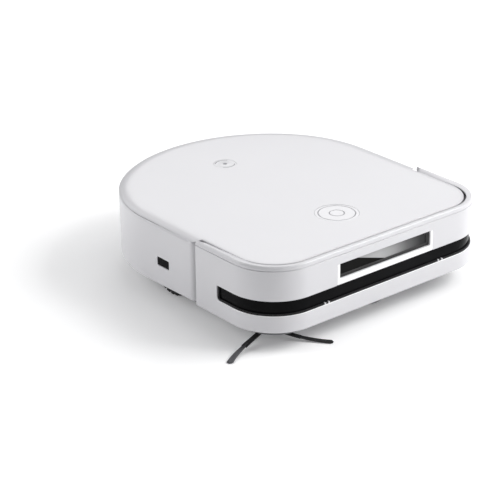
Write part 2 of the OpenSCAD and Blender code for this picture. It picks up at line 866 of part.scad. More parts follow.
module bumper_shell() {
    color("white") difference() {
        union() {
            translate([0, 0, skirt_z]) linear_extrude(rim_z0 - 0.4 - skirt_z) intersection() {
                ring(0, wall);
                ahead(bumper_end_y);
            }
            sweep_nose() rim_section();
            sweep_sides(corner_y, bumper_end_y) rim_section();
        }
        // dark band
        block([-big, -big, band_z0], [big, band_end_y - 4, band_z1]);
        block([-big, band_end_y - 5, band_z0 + 4], [big, band_end_y, band_z1]);
        rod_x(4, -big / 2, big / 2, band_end_y - 4, band_z0 + 4);
        // front window and its frame
        block([-bezel_w / 2 - part_gap, nose_y - 5, band_z1 - 1],
              [bezel_w / 2 + part_gap, nose_y + 8, window_z1 + 2.2 + part_gap]);
    }
    color("white") for (s = [-1, 1]) {
        // sliding pins
        rod_y(2.5, s * 34, nose_y + wall - 0.5, nose_y + 20, 31);
        // clips on the lower edge of the band
        for (t = [-1, 1])
            block([s * 81 + t * 2.6 - 1, nose_y + 0.4, band_z0 - 1],
                  [s * 81 + t * 2.6 + 1, nose_y + 2.4, band_z0 + 2.6]);
    }
}

// Dark curved window behind the band
module ir_visor() {
    a = wall + 0.2;
    color("black") difference() {
        union() {
            translate([0, 0, band_z0 - 3]) linear_extrude(band_z1 - band_z0 + 6) intersection() {
                ring(a, a + 1.6);
                ahead(band_end_y + 4);
            }
            // lip along the lower edge
            translate([0, 0, band_z0 + 0.4]) linear_extrude(1.4) intersection() {
                ring(a - 1, a + 1);
                ahead(band_end_y - 5);
            }
        }
        for (s = [-1, 1]) block([s * 81 - 5, nose_y, 30], [s * 81 + 5, nose_y + wall + 0.15, 50]);
        block([-bezel_w / 2 - 1, nose_y, band_z1], [bezel_w / 2 + 1, nose_y + 8, 70]);
    }
}

module window_bezel() {
    z0 = band_z1 + 0.1;
    z1 = window_z1 + 2.2;
    color("white") difference() {
        translate([0, nose_y, (z0 + z1) / 2]) rotate([-90, 0, 0]) slab([bezel_w, z1 - z0], 1.5, window_depth + 1.8);
        translate([0, nose_y - 1, (window_z0 + window_z1) / 2]) rotate([-90, 0, 0])
            slab([window_w, window_z1 - window_z0], 2, window_depth + 2);
        translate([0, nose_y + window_depth - 0.2, (window_z0 + window_z1) / 2]) rotate([-90, 0, 0])
            slab([window_w + 4, window_z1 - window_z0 + 3], 2, 10);
    }
}

module front_window() {
    color("black") translate([0, nose_y + window_depth, (window_z0 + window_z1) / 2]) rotate([-90, 0, 0])
        slab([window_w + 3.8, window_z1 - window_z0 + 2.8], 1.9, 2);
}

// ---------------------------------------------------------------- cover

function cover_curve(k, n, drop, i0) =
    [-i0 - cover_round * (1 - cos(90 * k / n)), seam_z + 0.1 + (cover_rise - 0.1) * sin(90 * k / n) - drop];

// Cross-section of the cover's rounded edge, from inset a inwards
module cover_section(a) {
    n = 9;
    i0 = shell_inset;
    inner = i0 + cover_round + 1;
    intersection() {
        polygon(concat(
            [for (k = [0 : n]) cover_curve(k, n, 0, i0)],
            [[-inner, cover_top], [-inner, cover_top - cover_t]],
            [for (k = [n : -1 : 4]) cover_curve(k, n, cover_t, i0)],
            [[-i0 - 2, seam_z + 0.1]]));
        translate([-inner, 0]) square([inner - a, 200]);
    }
}

module top_cover() {
    inner = shell_inset + cover_round + 0.9;
    color("white") difference() {
        union() {
            sweep_nose() cover_section(cover_front_inset);
            sweep_sides(corner_y, bumper_end_y + 4) cover_section(cover_front_inset);
            sweep_sides(bumper_end_y + 4 - eps, flank_cy) cover_section(shell_inset);
            sweep_tail() cover_section(shell_inset);
            translate([0, 0, cover_top - cover_t]) linear_extrude(cover_t) outline(inner);
        }
        translate([0, start_y, 80]) cylinder(r = start_r + slide_gap, h = 30, $fn = 96);
        translate([0, emblem_y, cover_top - 0.5]) cylinder(r = 24 + part_gap, h = 5, $fn = 96);
    }
}

// Plain round badge set into the cover
module cover_emblem() {
    color("whitesmoke") translate([0, emblem_y, cover_top - 0.5]) cylinder(r = 24, h = 0.5, $fn = 96);
}

module start_button() {
    h = cover_t + 1.8;
    color("white") translate([0, start_y, cover_top - h]) difference() {
        union() {
            cylinder(r = start_r, h = h, $fn = 96);
            cylinder(r = start_r + 1.5, h = 1.4, $fn = 96);
        }
        for (a = [90, 270]) translate([0, 0, h - 0.3]) mark_arc(a, 0.02);
        translate([0, 0, h - 0.3]) cylinder(r = 2.52, h = 5, $fn = 48);
    }
}

module mark_arc(a, g) {
    rotate_extrude(angle = 104 + 2 * g, start = a - 52 - g, $fn = 96)
        translate([start_r - 2.6 - g, 0]) square([1.1 + 2 * g, 5]);
}

// Two printed arcs and a dot on the start button
module start_marks() {
    color("gray") translate([0, start_y, cover_top - 0.3]) intersection() {
        union() {
            for (a = [90, 270]) mark_arc(a, 0);
            cylinder(r = 2.5, h = 5, $fn = 48);
        }
        cylinder(r = 20, h = 0.3);
    }
}

module power_button() {
    color("silver") translate([power_spot[0], power_spot[1], deck_z - 5]) {
        cylinder(r = 6, h = 6, $fn = 48);
        cylinder(r = 8, h = 1.5, $fn = 48);
    }
}

// ---------------------------------------------------------------- dust bin

bin_cy = bin_y + well_d / 2;

module dust_bin() {
    color("gray") difference() {
        translate([0, bin_cy, bin_z0]) slab([bin_w, bin_d], 6, bin_lid_z - bin_z0);
        translate([0, bin_cy, bin_z0 + bin_wall])
            slab([bin_w - 2 * bin_wall, bin_d - 2 * bin_wall], 4, 100);
        block([-inlet_w / 2 + 2, bin_cy - bin_d, inlet_z0 + 1], [inlet_w / 2 - 2, bin_cy - bin_d / 2 + 5, inlet_z1 - 1]);
        block([-42, bin_cy + bin_d / 2 - 5, outlet_z0 - 2], [42, bin_cy + bin_d, outlet_z1 + 2]);
    }
}

handle_y = bin_cy - 12;
handle_z = bin_lid_z + 3.8;
handle_r = 1.4;
lid_recess = [92, 34];

module bin_lid() {
    color("lightgray") difference() {
        translate([0, bin_cy, bin_lid_z + 0.05]) slab([bin_w, bin_d], 6, 6);
        translate([0, bin_cy, bin_lid_z + 2]) slab(lid_recess, 4, 10);
        for (s = [-1, 1]) rod_x(handle_r + run_gap, s * 48 - 3.2, s * 48 + 3.2, handle_y, handle_z);
    }
}

// Folding bail in the lid's recess
module bin_handle() {
    z0 = handle_z - handle_r;
    z1 = handle_z + handle_r;
    color("slategray") {
        for (s = [-1, 1]) {
            rod_x(handle_r, s * 47 - 3.4, s * 47 + 3.4, handle_y, handle_z);
            block([s * 42 - 3, handle_y, z0], [s * 42 + 3, handle_y + 25, z1]);
        }
        block([-45, handle_y + 20, z0], [45, handle_y + 26, z1]);
    }
}

// Pleated filter in its frame
module bin_filter() {
    y1 = bin_cy + bin_d / 2 - bin_wall - 0.2;
    color("ivory") difference() {
        block([-48, y1 - 9, outlet_z0 - 5], [48, y1, outlet_z1 + 5]);
        for (i = [-6 : 6]) block([i * 6.6 - 1.2, y1 - 12, outlet_z0], [i * 6.6 + 1.2, y1 - 4, outlet_z1]);
    }
}

// Rubber seal between the brush duct and the bin
module bin_seal() {
    y = bin_cy - bin_d / 2;
    color("black") difference() {
        block([-inlet_w / 2 - 3, y - 0.4, inlet_z0 - 3], [inlet_w / 2 + 3, y - 0.02, inlet_z1 + 3]);
        block([-inlet_w / 2 + 2, y - 5, inlet_z0 + 1], [inlet_w / 2 - 2, y + 5, inlet_z1 - 1]);
    }
}

module at_right() {
    mirror([1, 0, 0]) children();
}

chassis_base();
side_shell();
front_frame();
top_deck();
bin_well();
exhaust_grille();
side_sensor_window();
charging_contacts();
battery_pack();
battery_cover();
main_board();
fan_housing();
fan_motor();
fan_impeller();
caster_socket();
caster_fork();
caster_axle();
caster_wheel();
brush_tunnel();
brush_bearings();
brush_gearbox();
brush_core();
brush_blades();
brush_guard();
side_brush_motor();
side_brush_hub();
side_brush_arms();
wheel_housing();  // wheel_housing_left
at_right() wheel_housing();  // wheel_housing_right
wheel_arm();  // wheel_arm_left
at_right() wheel_arm();  // wheel_arm_right
wheel_rim();  // wheel_rim_left
at_right() wheel_rim();  // wheel_rim_right
tyre();  // tyre_left
at_right() tyre();  // tyre_right
suspension_spring();  // suspension_spring_left
at_right() suspension_spring();  // suspension_spring_right
front_camera();
camera_lens();
depth_sensor();
depth_sensor_lenses();
line_lasers();
bumper_switches();
bumper_springs();
cliff_windows();
base_screws();
bumper_shell();
ir_visor();
window_bezel();
front_window();
top_cover();
cover_emblem();
start_button();
start_marks();
power_button();
dust_bin();
bin_lid();
bin_filter();
bin_seal();
bin_handle();
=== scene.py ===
"""Robot vacuum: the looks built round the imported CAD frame. Sizes are in millimetres until a mesh is made."""

import json
import math
import random

import bmesh
import bpy
from mathutils import Matrix, Vector


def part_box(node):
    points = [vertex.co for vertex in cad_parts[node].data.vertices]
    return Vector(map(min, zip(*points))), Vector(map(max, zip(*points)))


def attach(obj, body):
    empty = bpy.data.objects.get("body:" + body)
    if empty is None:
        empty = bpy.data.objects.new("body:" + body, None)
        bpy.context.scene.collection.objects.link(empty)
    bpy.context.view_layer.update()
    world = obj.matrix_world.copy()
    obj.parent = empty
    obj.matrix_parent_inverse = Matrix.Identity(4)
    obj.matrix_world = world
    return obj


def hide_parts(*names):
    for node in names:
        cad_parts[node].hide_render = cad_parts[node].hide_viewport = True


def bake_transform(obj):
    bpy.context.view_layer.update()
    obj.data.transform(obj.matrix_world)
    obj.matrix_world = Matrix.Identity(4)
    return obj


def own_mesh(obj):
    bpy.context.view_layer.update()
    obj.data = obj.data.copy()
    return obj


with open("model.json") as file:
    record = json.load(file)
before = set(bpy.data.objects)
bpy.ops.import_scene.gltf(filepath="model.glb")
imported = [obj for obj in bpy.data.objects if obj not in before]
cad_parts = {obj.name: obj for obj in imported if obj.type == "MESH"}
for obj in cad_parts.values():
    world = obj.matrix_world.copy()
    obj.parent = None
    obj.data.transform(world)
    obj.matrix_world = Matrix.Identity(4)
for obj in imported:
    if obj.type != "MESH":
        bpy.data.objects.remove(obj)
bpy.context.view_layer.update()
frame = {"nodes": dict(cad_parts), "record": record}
nodes = frame["nodes"]
MM = 0.001


def box_mm(node):
    """Lowest and highest corner of a CAD node, in millimetres."""
    low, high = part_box(node)
    return low / MM, high / MM


# ------------------------------------------------------------------ driving dimensions

bumper_low, bumper_high = box_mm("bumper_shell")
side_low, side_high = box_mm("side_shell")
start_low, start_high = box_mm("start_button")
badge_low, badge_high = box_mm("cover_emblem")
HALF_W = bumper_high.x
NOSE_Y = bumper_low.y
RIM_TOP = bumper_high.z
BUMPER_END = bumper_high.y
SKIRT_Z = side_low.z
SEAM_Z = side_high.z
SHELL_INSET = HALF_W - side_high.x
SHELL_END = side_low.y
COVER_TOP = box_mm("top_cover")[1].z
# These follow part.scad's values, because no box in the frame gives them.
CORNER_R = 54.0            # nose corners, seen from above
TAIL_R = 170.0             # tail, seen from above
FLANK_R = 140.0            # between the straight sides and the tail
WALL = 2.5
COVER_ROUND = 14.0         # width of the cover's rounded edge
COVER_FRONT_INSET = 10.0   # the cover's edge behind the rim
BAND_Z = (40.5, 57.4)      # sensor band, lowest and highest
BAND_END = -95.5           # the band's ends on the sides
RIM_INSET = 2.8            # top of the rim, in from the bumper's face
CREASE_Z = SEAM_Z + 0.5    # groove under the rim
WINDOW_HALF = 64.3         # front window's opening
WINDOW_Z = (63.8, 80.3)
WINDOW_DEPTH = 2.7         # its glass behind the bumper's face
BEZEL_HALF = 68.2          # frame round the front window
BEZEL_Z = (57.5, 80.4)
START_XY = (0.0, (start_low.y + start_high.y) / 2)
START_R = 13.0
BADGE_XY = (0.0, (badge_low.y + badge_high.y) / 2)
BADGE_R = (badge_high.x - badge_low.x) / 2


# ------------------------------------------------------------------ materials

def new_material(name):
    """An empty material, its node tree and its shader."""
    material = bpy.data.materials.new(name)
    material.use_nodes = True
    tree = material.node_tree
    return material, tree, tree.nodes["Principled BSDF"]


def noise(tree, coords, scale, detail=3.0, rough=0.5):
    """A noise value at the coordinates."""
    node = tree.nodes.new("ShaderNodeTexNoise")
    node.inputs["Scale"].default_value = scale
    node.inputs["Detail"].default_value = detail
    node.inputs["Roughness"].default_value = rough
    tree.links.new(coords, node.inputs["Vector"])
    return node.outputs["Fac"]


def mapped(tree, value, low, high, from_low=0.3, from_high=0.7):
    """Maps a value's range onto another."""
    node = tree.nodes.new("ShaderNodeMapRange")
    node.inputs["From Min"].default_value = from_low
    node.inputs["From Max"].default_value = from_high
    node.inputs["To Min"].default_value = low
    node.inputs["To Max"].default_value = high
    tree.links.new(value, node.inputs["Value"])
    return node.outputs["Result"]


def mixed(tree, factor, a, b):
    """Mixes two colours, each a tuple or a socket."""
    node = tree.nodes.new("ShaderNodeMix")
    node.data_type = "RGBA"
    tree.links.new(factor, node.inputs["Factor"])
    for socket, value in ((node.inputs[6], a), (node.inputs[7], b)):
        if isinstance(value, tuple):
            socket.default_value = (*value, 1)
        else:
            tree.links.new(value, socket)
    return node.outputs[2]


def bumped(tree, shader, height, strength, distance):
    """Gives the shader a bump from a height value."""
    node = tree.nodes.new("ShaderNodeBump")
    node.inputs["Strength"].default_value = strength
    node.inputs["Distance"].default_value = distance
    tree.links.new(height, node.inputs["Height"])
    tree.links.new(node.outputs["Normal"], shader.inputs["Normal"])


def shade(colour, factor):
    """A lighter or darker shade of a colour."""
    return tuple(min(1.0, c * factor) for c in colour)


def moulded(name, colour, rough=0.4, vary=0.03, grain=900, depth=0.00004, edge=1.06, coat=0.0,
            specular=0.5, metal=0.0, patchy=0.06):
    """Moulded or cast surface: slow colour drift, patchy gloss, fine grain and paler edges, worn on most parts,
    a painted highlight on the band's frame.
    """
    material, tree, shader = new_material(name)
    coords = tree.nodes.new("ShaderNodeTexCoord").outputs["Object"]
    drift = mapped(tree, noise(tree, coords, 14, 2), 0, 1)
    base = mixed(tree, drift, shade(colour, 1 - vary), shade(colour, 1 + vary))
    geometry = tree.nodes.new("ShaderNodeNewGeometry")
    # Paler convex edges: wear, and where the edge factor is large, a painted highlight.
    wear_and_edge_highlight = mapped(tree, geometry.outputs["Pointiness"], 0, 1, 0.53, 0.62)
    tree.links.new(mixed(tree, wear_and_edge_highlight, base, shade(colour, edge)), shader.inputs["Base Color"])
    gloss = mapped(tree, noise(tree, coords, 60, 2), max(0.02, rough - patchy), rough + patchy)
    tree.links.new(gloss, shader.inputs["Roughness"])
    shader.inputs["Specular IOR Level"].default_value = specular
    shader.inputs["Metallic"].default_value = metal
    shader.inputs["Coat Weight"].default_value = coat
    shader.inputs["Coat Roughness"].default_value = 0.12
    bumped(tree, shader, noise(tree, coords, grain, 2), 0.5, depth)
    return material


def brushed(name, colour, rough=0.3, along=0):
    """Metal with fine parallel marks along one axis."""
    material, tree, shader = new_material(name)
    coords = tree.nodes.new("ShaderNodeTexCoord").outputs["Object"]
    stretch = tree.nodes.new("ShaderNodeMapping")
    scales = [900.0, 900.0, 900.0]
    scales[along] = 25.0
    stretch.inputs["Scale"].default_value = scales
    tree.links.new(coords, stretch.inputs["Vector"])
    marks = noise(tree, stretch.outputs["Vector"], 1.0, 3)
    tree.links.new(mixed(tree, mapped(tree, marks, 0, 1), shade(colour, 0.85), colour),
                   shader.inputs["Base Color"])
    tree.links.new(mapped(tree, marks, rough - 0.08, rough + 0.12), shader.inputs["Roughness"])
    shader.inputs["Metallic"].default_value = 1.0
    bumped(tree, shader, marks, 0.3, 0.00003)
    return material


def glassy(name, colour, rough=0.08, specular=0.1):
    """Polished dark plastic or coated glass."""
    material, tree, shader = new_material(name)
    coords = tree.nodes.new("ShaderNodeTexCoord").outputs["Object"]
    smudge = mapped(tree, noise(tree, coords, 45, 5, 0.6), 0, 1, 0.35, 0.75)
    tree.links.new(mixed(tree, smudge, colour, shade(colour, 1.5)), shader.inputs["Base Color"])
    tree.links.new(mapped(tree, smudge, rough, rough + 0.08, 0, 1), shader.inputs["Roughness"])
    shader.inputs["Specular IOR Level"].default_value = specular
    bumped(tree, shader, noise(tree, coords, 25, 1), 0.05, 0.0002)
    return material


def ramped(tree, value, stops):
    """A colour ramp of (position, grey) stops."""
    node = tree.nodes.new("ShaderNodeValToRGB")
    ramp = node.color_ramp
    while len(ramp.elements) < len(stops):
        ramp.elements.new(0.5)
    for element, (position, grey) in zip(ramp.elements, stops):
        element.position = position
        element.color = (grey, grey, grey * 1.01, 1)
    tree.links.new(value, node.inputs["Fac"])
    return node.outputs["Color"]


def window_painted_reflection(name):
    """Front window: dark glass with a painted reflection, pale and darkening towards the right, and a black
    wedge at the left.
    """
    material, tree, shader = new_material(name)
    coords = tree.nodes.new("ShaderNodeTexCoord").outputs["Object"]
    parts = tree.nodes.new("ShaderNodeSeparateXYZ")
    tree.links.new(coords, parts.inputs["Vector"])
    low_x, high_x = -WINDOW_HALF * MM, WINDOW_HALF * MM
    low_z, high_z = (WINDOW_Z[0] + 1.8) * MM, WINDOW_Z[1] * MM
    across = mapped(tree, parts.outputs["X"], 0, 1, low_x, high_x)
    height = mapped(tree, parts.outputs["Z"], 0.55, 0.17, low_z, high_z)
    past = tree.nodes.new("ShaderNodeMath")
    past.operation = "SUBTRACT"
    tree.links.new(across, past.inputs[0])
    tree.links.new(height, past.inputs[1])
    # Painted reflection: pale grey at the left, fading to near black at the right.
    painted_reflection = ramped(tree, across, [(0.0, 0.42), (0.45, 0.45), (0.6, 0.34), (0.75, 0.14), (0.9, 0.04),
                                 (1.0, 0.015)])
    inside = mapped(tree, past.outputs[0], 0, 1, -0.006, 0.006)
    base = mixed(tree, inside, (0.005, 0.005, 0.0045), painted_reflection)
    streaks = noise(tree, coords, 30, 2)
    tree.links.new(mixed(tree, mapped(tree, streaks, 0, 0.012), base, (0.3, 0.3, 0.3)),
                   shader.inputs["Base Color"])
    tree.links.new(mapped(tree, streaks, 0.12, 0.2), shader.inputs["Roughness"])
    shader.inputs["Specular IOR Level"].default_value = 0.05
    bumped(tree, shader, streaks, 0.05, 0.0001)
    return material


def filter_paper(name):
    """Pleated filter: fibrous, off-white, with dust in the folds."""
    material, tree, shader = new_material(name)
    coords = tree.nodes.new("ShaderNodeTexCoord").outputs["Object"]
    fibres = noise(tree, coords, 1400, 5, 0.7)
    dust = mapped(tree, noise(tree, coords, 90, 4), 0, 1)
    base = mixed(tree, dust, (0.84, 0.82, 0.75), (0.7, 0.68, 0.62))
    tree.links.new(base, shader.inputs["Base Color"])
    tree.links.new(mapped(tree, fibres, 0.8, 0.95), shader.inputs["Roughness"])
    bumped(tree, shader, fibres, 0.8, 0.0002)
    return material


def circuit_board(name):
    """Green solder mask with pale copper tracks showing through."""
    material, tree, shader = new_material(name)
    coords = tree.nodes.new("ShaderNodeTexCoord").outputs["Object"]
    tracks = tree.nodes.new("ShaderNodeTexBrick")
    tracks.inputs["Scale"].default_value = 160
    tracks.inputs["Mortar Size"].default_value = 0.03
    tracks.inputs["Color1"].default_value = (0.012, 0.11, 0.05, 1)
    tracks.inputs["Color2"].default_value = (0.015, 0.13, 0.06, 1)
    tracks.inputs["Mortar"].default_value = (0.05, 0.3, 0.13, 1)
    tree.links.new(coords, tracks.inputs["Vector"])
    tree.links.new(tracks.outputs["Color"], shader.inputs["Base Color"])
    tree.links.new(mapped(tree, noise(tree, coords, 200), 0.25, 0.4), shader.inputs["Roughness"])
    bumped(tree, shader, tracks.outputs["Fac"], 0.4, 0.0001)
    return material


def glossy_white(name, colour, rough, coat, vary=0.006):
    """Smooth white casing plastic."""
    return moulded(name, colour, rough, vary, 1200, 0.0000015, 1.01, patchy=0.01, coat=coat)


WHITE = (0.675, 0.67, 0.692)
materials = {
    "white_shell": glossy_white("white_shell", WHITE, 0.34, 0.15),
    "white_cover": glossy_white("white_cover", shade(WHITE, 1.01), 0.3, 0.2),
    "badge": glossy_white("badge", shade(WHITE, 1.01), 0.22, 0.3),
    "mark_grey": moulded("mark_grey", (0.24, 0.24, 0.26), 0.5, 0.04),
    "pan_grey": moulded("pan_grey", (0.1, 0.102, 0.11), 0.55, 0.05, 1500, 0.0001, 1.25),
    "inner_grey": moulded("inner_grey", (0.34, 0.345, 0.36), 0.5, 0.04, 1200, 0.00008, 1.1),
    "inner_dark": moulded("inner_dark", (0.03, 0.03, 0.033), 0.5, 0.08, 1200, 0.00008, 1.5),
    "deck_white": moulded("deck_white", (0.6, 0.6, 0.62), 0.5, 0.015, 1200, 0.00006, 1.03),
    "dark_window": glassy("dark_window", (0.004, 0.004, 0.0045), 0.1, 0.04),
    "lens": glassy("lens", (0.01, 0.014, 0.04), 0.05, 0.6),
    "contact_metal": brushed("contact_metal", (0.72, 0.55, 0.3), 0.25, 0),
    "battery_skin": moulded("battery_skin", (0.02, 0.06, 0.2), 0.35, 0.1, 400, 0.0001, 1.3),
    "board": circuit_board("board"),
    "steel": brushed("steel", (0.6, 0.6, 0.62), 0.28, 0),
    "switch_red": moulded("switch_red", (0.35, 0.02, 0.015), 0.4, 0.05),
    "tyre": moulded("tyre", (0.018, 0.018, 0.019), 0.75, 0.2, 1100, 0.00025, 2.2, specular=0.3),
    "caster_white": moulded("caster_white", (0.66, 0.66, 0.63), 0.4, 0.05),
    "rim_grey": moulded("rim_grey", (0.12, 0.12, 0.13), 0.45, 0.06),
    "bearing_red": moulded("bearing_red", (0.3, 0.02, 0.015), 0.4, 0.05),
    "roller_core": moulded("roller_core", (0.05, 0.05, 0.055), 0.45, 0.08),
    "roller_rubber": moulded("roller_rubber", (0.014, 0.014, 0.015), 0.6, 0.15, 900, 0.0001, 1.8),
    "guard_grey": moulded("guard_grey", (0.16, 0.165, 0.18), 0.5, 0.05, 1400, 0.00008, 1.2),
    "brush_hub": moulded("brush_hub", (0.03, 0.03, 0.033), 0.45, 0.08),
    "brush_arm": moulded("brush_arm", (0.022, 0.022, 0.024), 0.65, 0.2, 1600, 0.0002, 1.6),
    "bin_smoke": glassy("bin_smoke", (0.1, 0.1, 0.11), 0.15, 0.5),
    "lid_grey": moulded("lid_grey", (0.55, 0.55, 0.57), 0.45, 0.03),
    "handle_blue": moulded("handle_blue", (0.1, 0.13, 0.2), 0.45, 0.05),
    "filter_paper": filter_paper("filter_paper"),
    # Also used on the band's lip, where this brighter white is a painted highlight.
    "bezel_white_and_lip_highlight": glossy_white("bezel_white_and_lip_highlight", (0.95, 0.95, 0.96), 0.3, 0.2, vary=0.005),
    # Edge factor 3 paints a light highlight line along the frame's edges.
    "band_frame": moulded("band_frame", (0.012, 0.012, 0.013), 0.35, 0.1, 900, 0.00003, 3.0, specular=0.2),
    "gasket": moulded("gasket", (0.004, 0.004, 0.004), 0.5, 0.1),
    "window_painted_reflection": window_painted_reflection("window_painted_reflection"),
    "bristle": moulded("bristle", (0.06, 0.06, 0.065), 0.55, 0.25, 2500, 0.0001, 1.8),
    "seal_rubber": moulded("seal_rubber", (0.015, 0.015, 0.015), 0.7, 0.2, 900, 0.0001, 1.8),
}


def dress(piece, finish, body=None, replaced=()):
    """Gives a piece its material and body, and hides the nodes it replaces."""
    piece.data.materials.clear()
    piece.data.materials.append(materials[finish])
    if body:
        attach(piece, body)
    if replaced:
        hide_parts(*replaced)
    return piece


for entry in frame["record"]["subparts"]:
    node = nodes[entry["node"]]
    for material_slot in node.material_slots:
        material_slot.material = materials[entry["material_slot"]]


# ------------------------------------------------------------------ mesh helpers

def mesh_object(name, verts, faces):
    """Makes an object from points in millimetres."""
    mesh = bpy.data.meshes.new(name)
    mesh.from_pydata([[c * MM for c in v] for v in verts], [], faces)
    mesh.validate()
    piece = bpy.data.objects.new(name, mesh)
    bpy.context.scene.collection.objects.link(piece)
    return piece


def tidy_normals(piece, sharp_angle=35):
    """Closes seams, turns the faces outwards, and shades smooth up to the sharp angle."""
    bm = bmesh.new()
    bm.from_mesh(piece.data)
    bmesh.ops.remove_doubles(bm, verts=bm.verts, dist=0.002 * MM)
    bmesh.ops.recalc_face_normals(bm, faces=bm.faces)
    for face in bm.faces:
        face.smooth = True
    limit = math.radians(sharp_angle)
    for edge in bm.edges:
        edge.smooth = not (len(edge.link_faces) == 2 and edge.calc_face_angle(0) > limit)
    bm.to_mesh(piece.data)
    bm.free()
    return piece


def bake_modifiers(piece):
    """Applies a piece's modifiers to its mesh."""
    depsgraph = bpy.context.evaluated_depsgraph_get()
    mesh = bpy.data.meshes.new_from_object(piece.evaluated_get(depsgraph))
    piece.modifiers.clear()
    piece.data = mesh
    return piece


def soften(piece, width, segments=2, angle=32):
    """Rounds the edges of a piece by width, in millimetres."""
    bevel = piece.modifiers.new("bevel", "BEVEL")
    bevel.width = width * MM
    bevel.segments = segments
    bevel.limit_method = "ANGLE"
    bevel.angle_limit = math.radians(angle)
    bevel.use_clamp_overlap = True
    bevel.harden_normals = False
    bake_modifiers(piece)
    return tidy_normals(piece, 40)


def cut(piece, *cutters):
    """Cuts the cutters out of a piece, and removes them."""
    for cutter in cutters:
        difference = piece.modifiers.new("cut", "BOOLEAN")
        difference.operation = "DIFFERENCE"
        difference.solver = "EXACT"
        difference.object = cutter
    bake_modifiers(piece)
    for cutter in cutters:
        bpy.data.objects.remove(cutter)
    return piece


def grid(name, rows, close_rows=False, close_columns=False, caps=False):
    """A mesh of quads through rows of points."""
    count = len(rows[0])
    verts = [p for row in rows for p in row]
    faces = []
    for i in range(len(rows) - (0 if close_rows else 1)):
        for j in range(count - (0 if close_columns else 1)):
            a, b = i * count + j, i * count + (j + 1) % count
            c, d = ((i + 1) % len(rows)) * count + (j + 1) % count, ((i + 1) % len(rows)) * count + j
            faces.append((a, b, c, d))
    if caps:
        faces.append(tuple(range(count)))
        faces.append(tuple((len(rows) - 1) * count + j for j in reversed(range(count))))
    return mesh_object(name, verts, faces)


def fillet(corners, steps=5):
    """A closed outline from (x, y, radius) corners, with round corners."""
    points = []
    count = len(corners)
    for i, (x, y, radius) in enumerate(corners):
        here = Vector((x, y))
        before = Vector(corners[i - 1][:2]) - here
        after = Vector(corners[(i + 1) % count][:2]) - here
        if radius <= 0:
            points.append((x, y))
            continue
        turn = before.angle(after)
        reach = min(radius / math.tan(turn / 2), before.length * 0.49, after.length * 0.49)
        true_radius = reach * math.tan(turn / 2)
        start, stop = here + before.normalized() * reach, here + after.normalized() * reach
        middle = here + (before.normalized() + after.normalized()).normalized() * (
            true_radius / math.sin(turn / 2))
        a, b = start - middle, stop - middle
        sweep = a.angle_signed(b)
        for k in range(steps + 1):
            angle = -sweep * k / steps
            points.append((middle.x + a.x * math.cos(angle) - a.y * math.sin(angle),
                           middle.y + a.x * math.sin(angle) + a.y * math.cos(angle)))
    return points


def rod_piece(name, start, axis, length, radius, chamfer=0.4):
    """A round pin with chamfered ends along an axis."""
    rows = []
    for along, r in ((0, radius - chamfer), (chamfer, radius), (length - chamfer, radius),
                     (length, radius - chamfer)):
        row = []
        for k in range(32):
            a = 2 * math.pi * k / 32
            point = list(start)
            u, v = [i for i in range(3) if i != axis]
            point[u] += r * math.cos(a)
            point[v] += r * math.sin(a)
            point[axis] += along
            row.append(tuple(point))
        rows.append(row)
    return tidy_normals(grid(name, rows, close_columns=True, caps=True))


def coil(name, start, axis, length, radius, wire, turns):
    """A coil spring wound about an axis."""
    u, v = [i for i in range(3) if i != axis]
    rows = []
    steps = 24 * turns
    for k in range(steps + 1):
        a = 2 * math.pi * turns * k / steps
        along = wire + (length - 2 * wire) * k / steps
        row = []
        for j in range(8):
            b = 2 * math.pi * j / 8
            point = list(start)
            point[u] += (radius + wire * math.cos(b)) * math.cos(a)
            point[v] += (radius + wire * math.cos(b)) * math.sin(a)
            point[axis] += along + wire * math.sin(b)
            row.append(tuple(point))
        rows.append(row)
    return tidy_normals(grid(name, rows, close_columns=True, caps=True))


def tube_rows(points, radii, sides):
    """Rings round a line of points."""
    rows = []
    for k, point in enumerate(points):
        here = Vector(point)
        ahead = Vector(points[min(k + 1, len(points) - 1)]) - Vector(points[max(k - 1, 0)])
        across = ahead.cross(Vector((0, 0, 1))).normalized()
        up = across.cross(ahead).normalized()
        rows.append([tuple(here + across * radii[k] * math.cos(2 * math.pi * j / sides)
                           + up * radii[k] * math.sin(2 * math.pi * j / sides)) for j in range(sides)])
    return rows


def joined_tubes(name, tubes, sides):
    """One mesh of many tubes, each a pair of points and radii."""
    verts, faces = [], []
    for points, radii in tubes:
        start = len(verts)
        rows = tube_rows(points, radii, sides)
        verts += [p for row in rows for p in row]
        for i in range(len(rows) - 1):
            for j in range(sides):
                a, b = start + i * sides + j, start + i * sides + (j + 1) % sides
                faces.append((a, b, b + sides, a + sides))
        faces.append(tuple(start + j for j in reversed(range(sides))))
        faces.append(tuple(start + (len(rows) - 1) * sides + j for j in range(sides)))
    return mesh_object(name, verts, faces)


# ------------------------------------------------------------------ body outline

TAIL_CY = side_high.y + SHELL_INSET - TAIL_R
FLANK_X = HALF_W - FLANK_R
FLANK_CY = TAIL_CY + math.sqrt((TAIL_R - FLANK_R) ** 2 - FLANK_X ** 2)
TAIL_TURN = math.atan2(FLANK_CY - TAIL_CY, FLANK_X)
CORNER_X = HALF_W - CORNER_R
CORNER_Y = NOSE_Y + CORNER_R


def arc_stations(cx, cy, radius, start, stop, step=2.5):
    """Points and outward normals along an arc, one every step degrees."""
    count = max(2, round(abs(math.degrees(stop - start)) / step))
    out = []
    for k in range(count + 1):
        a = start + (stop - start) * k / count
        n = Vector((math.cos(a), math.sin(a)))
        out.append((Vector((cx, cy)) + n * radius, n))
    return out


def line_stations(a, b, normal, step=6.0):
    """Points and their shared normal along a line, one every step millimetres."""
    count = max(1, round((Vector(b) - Vector(a)).length / step))
    return [(Vector(a).lerp(Vector(b), k / count), Vector(normal)) for k in range(count + 1)]


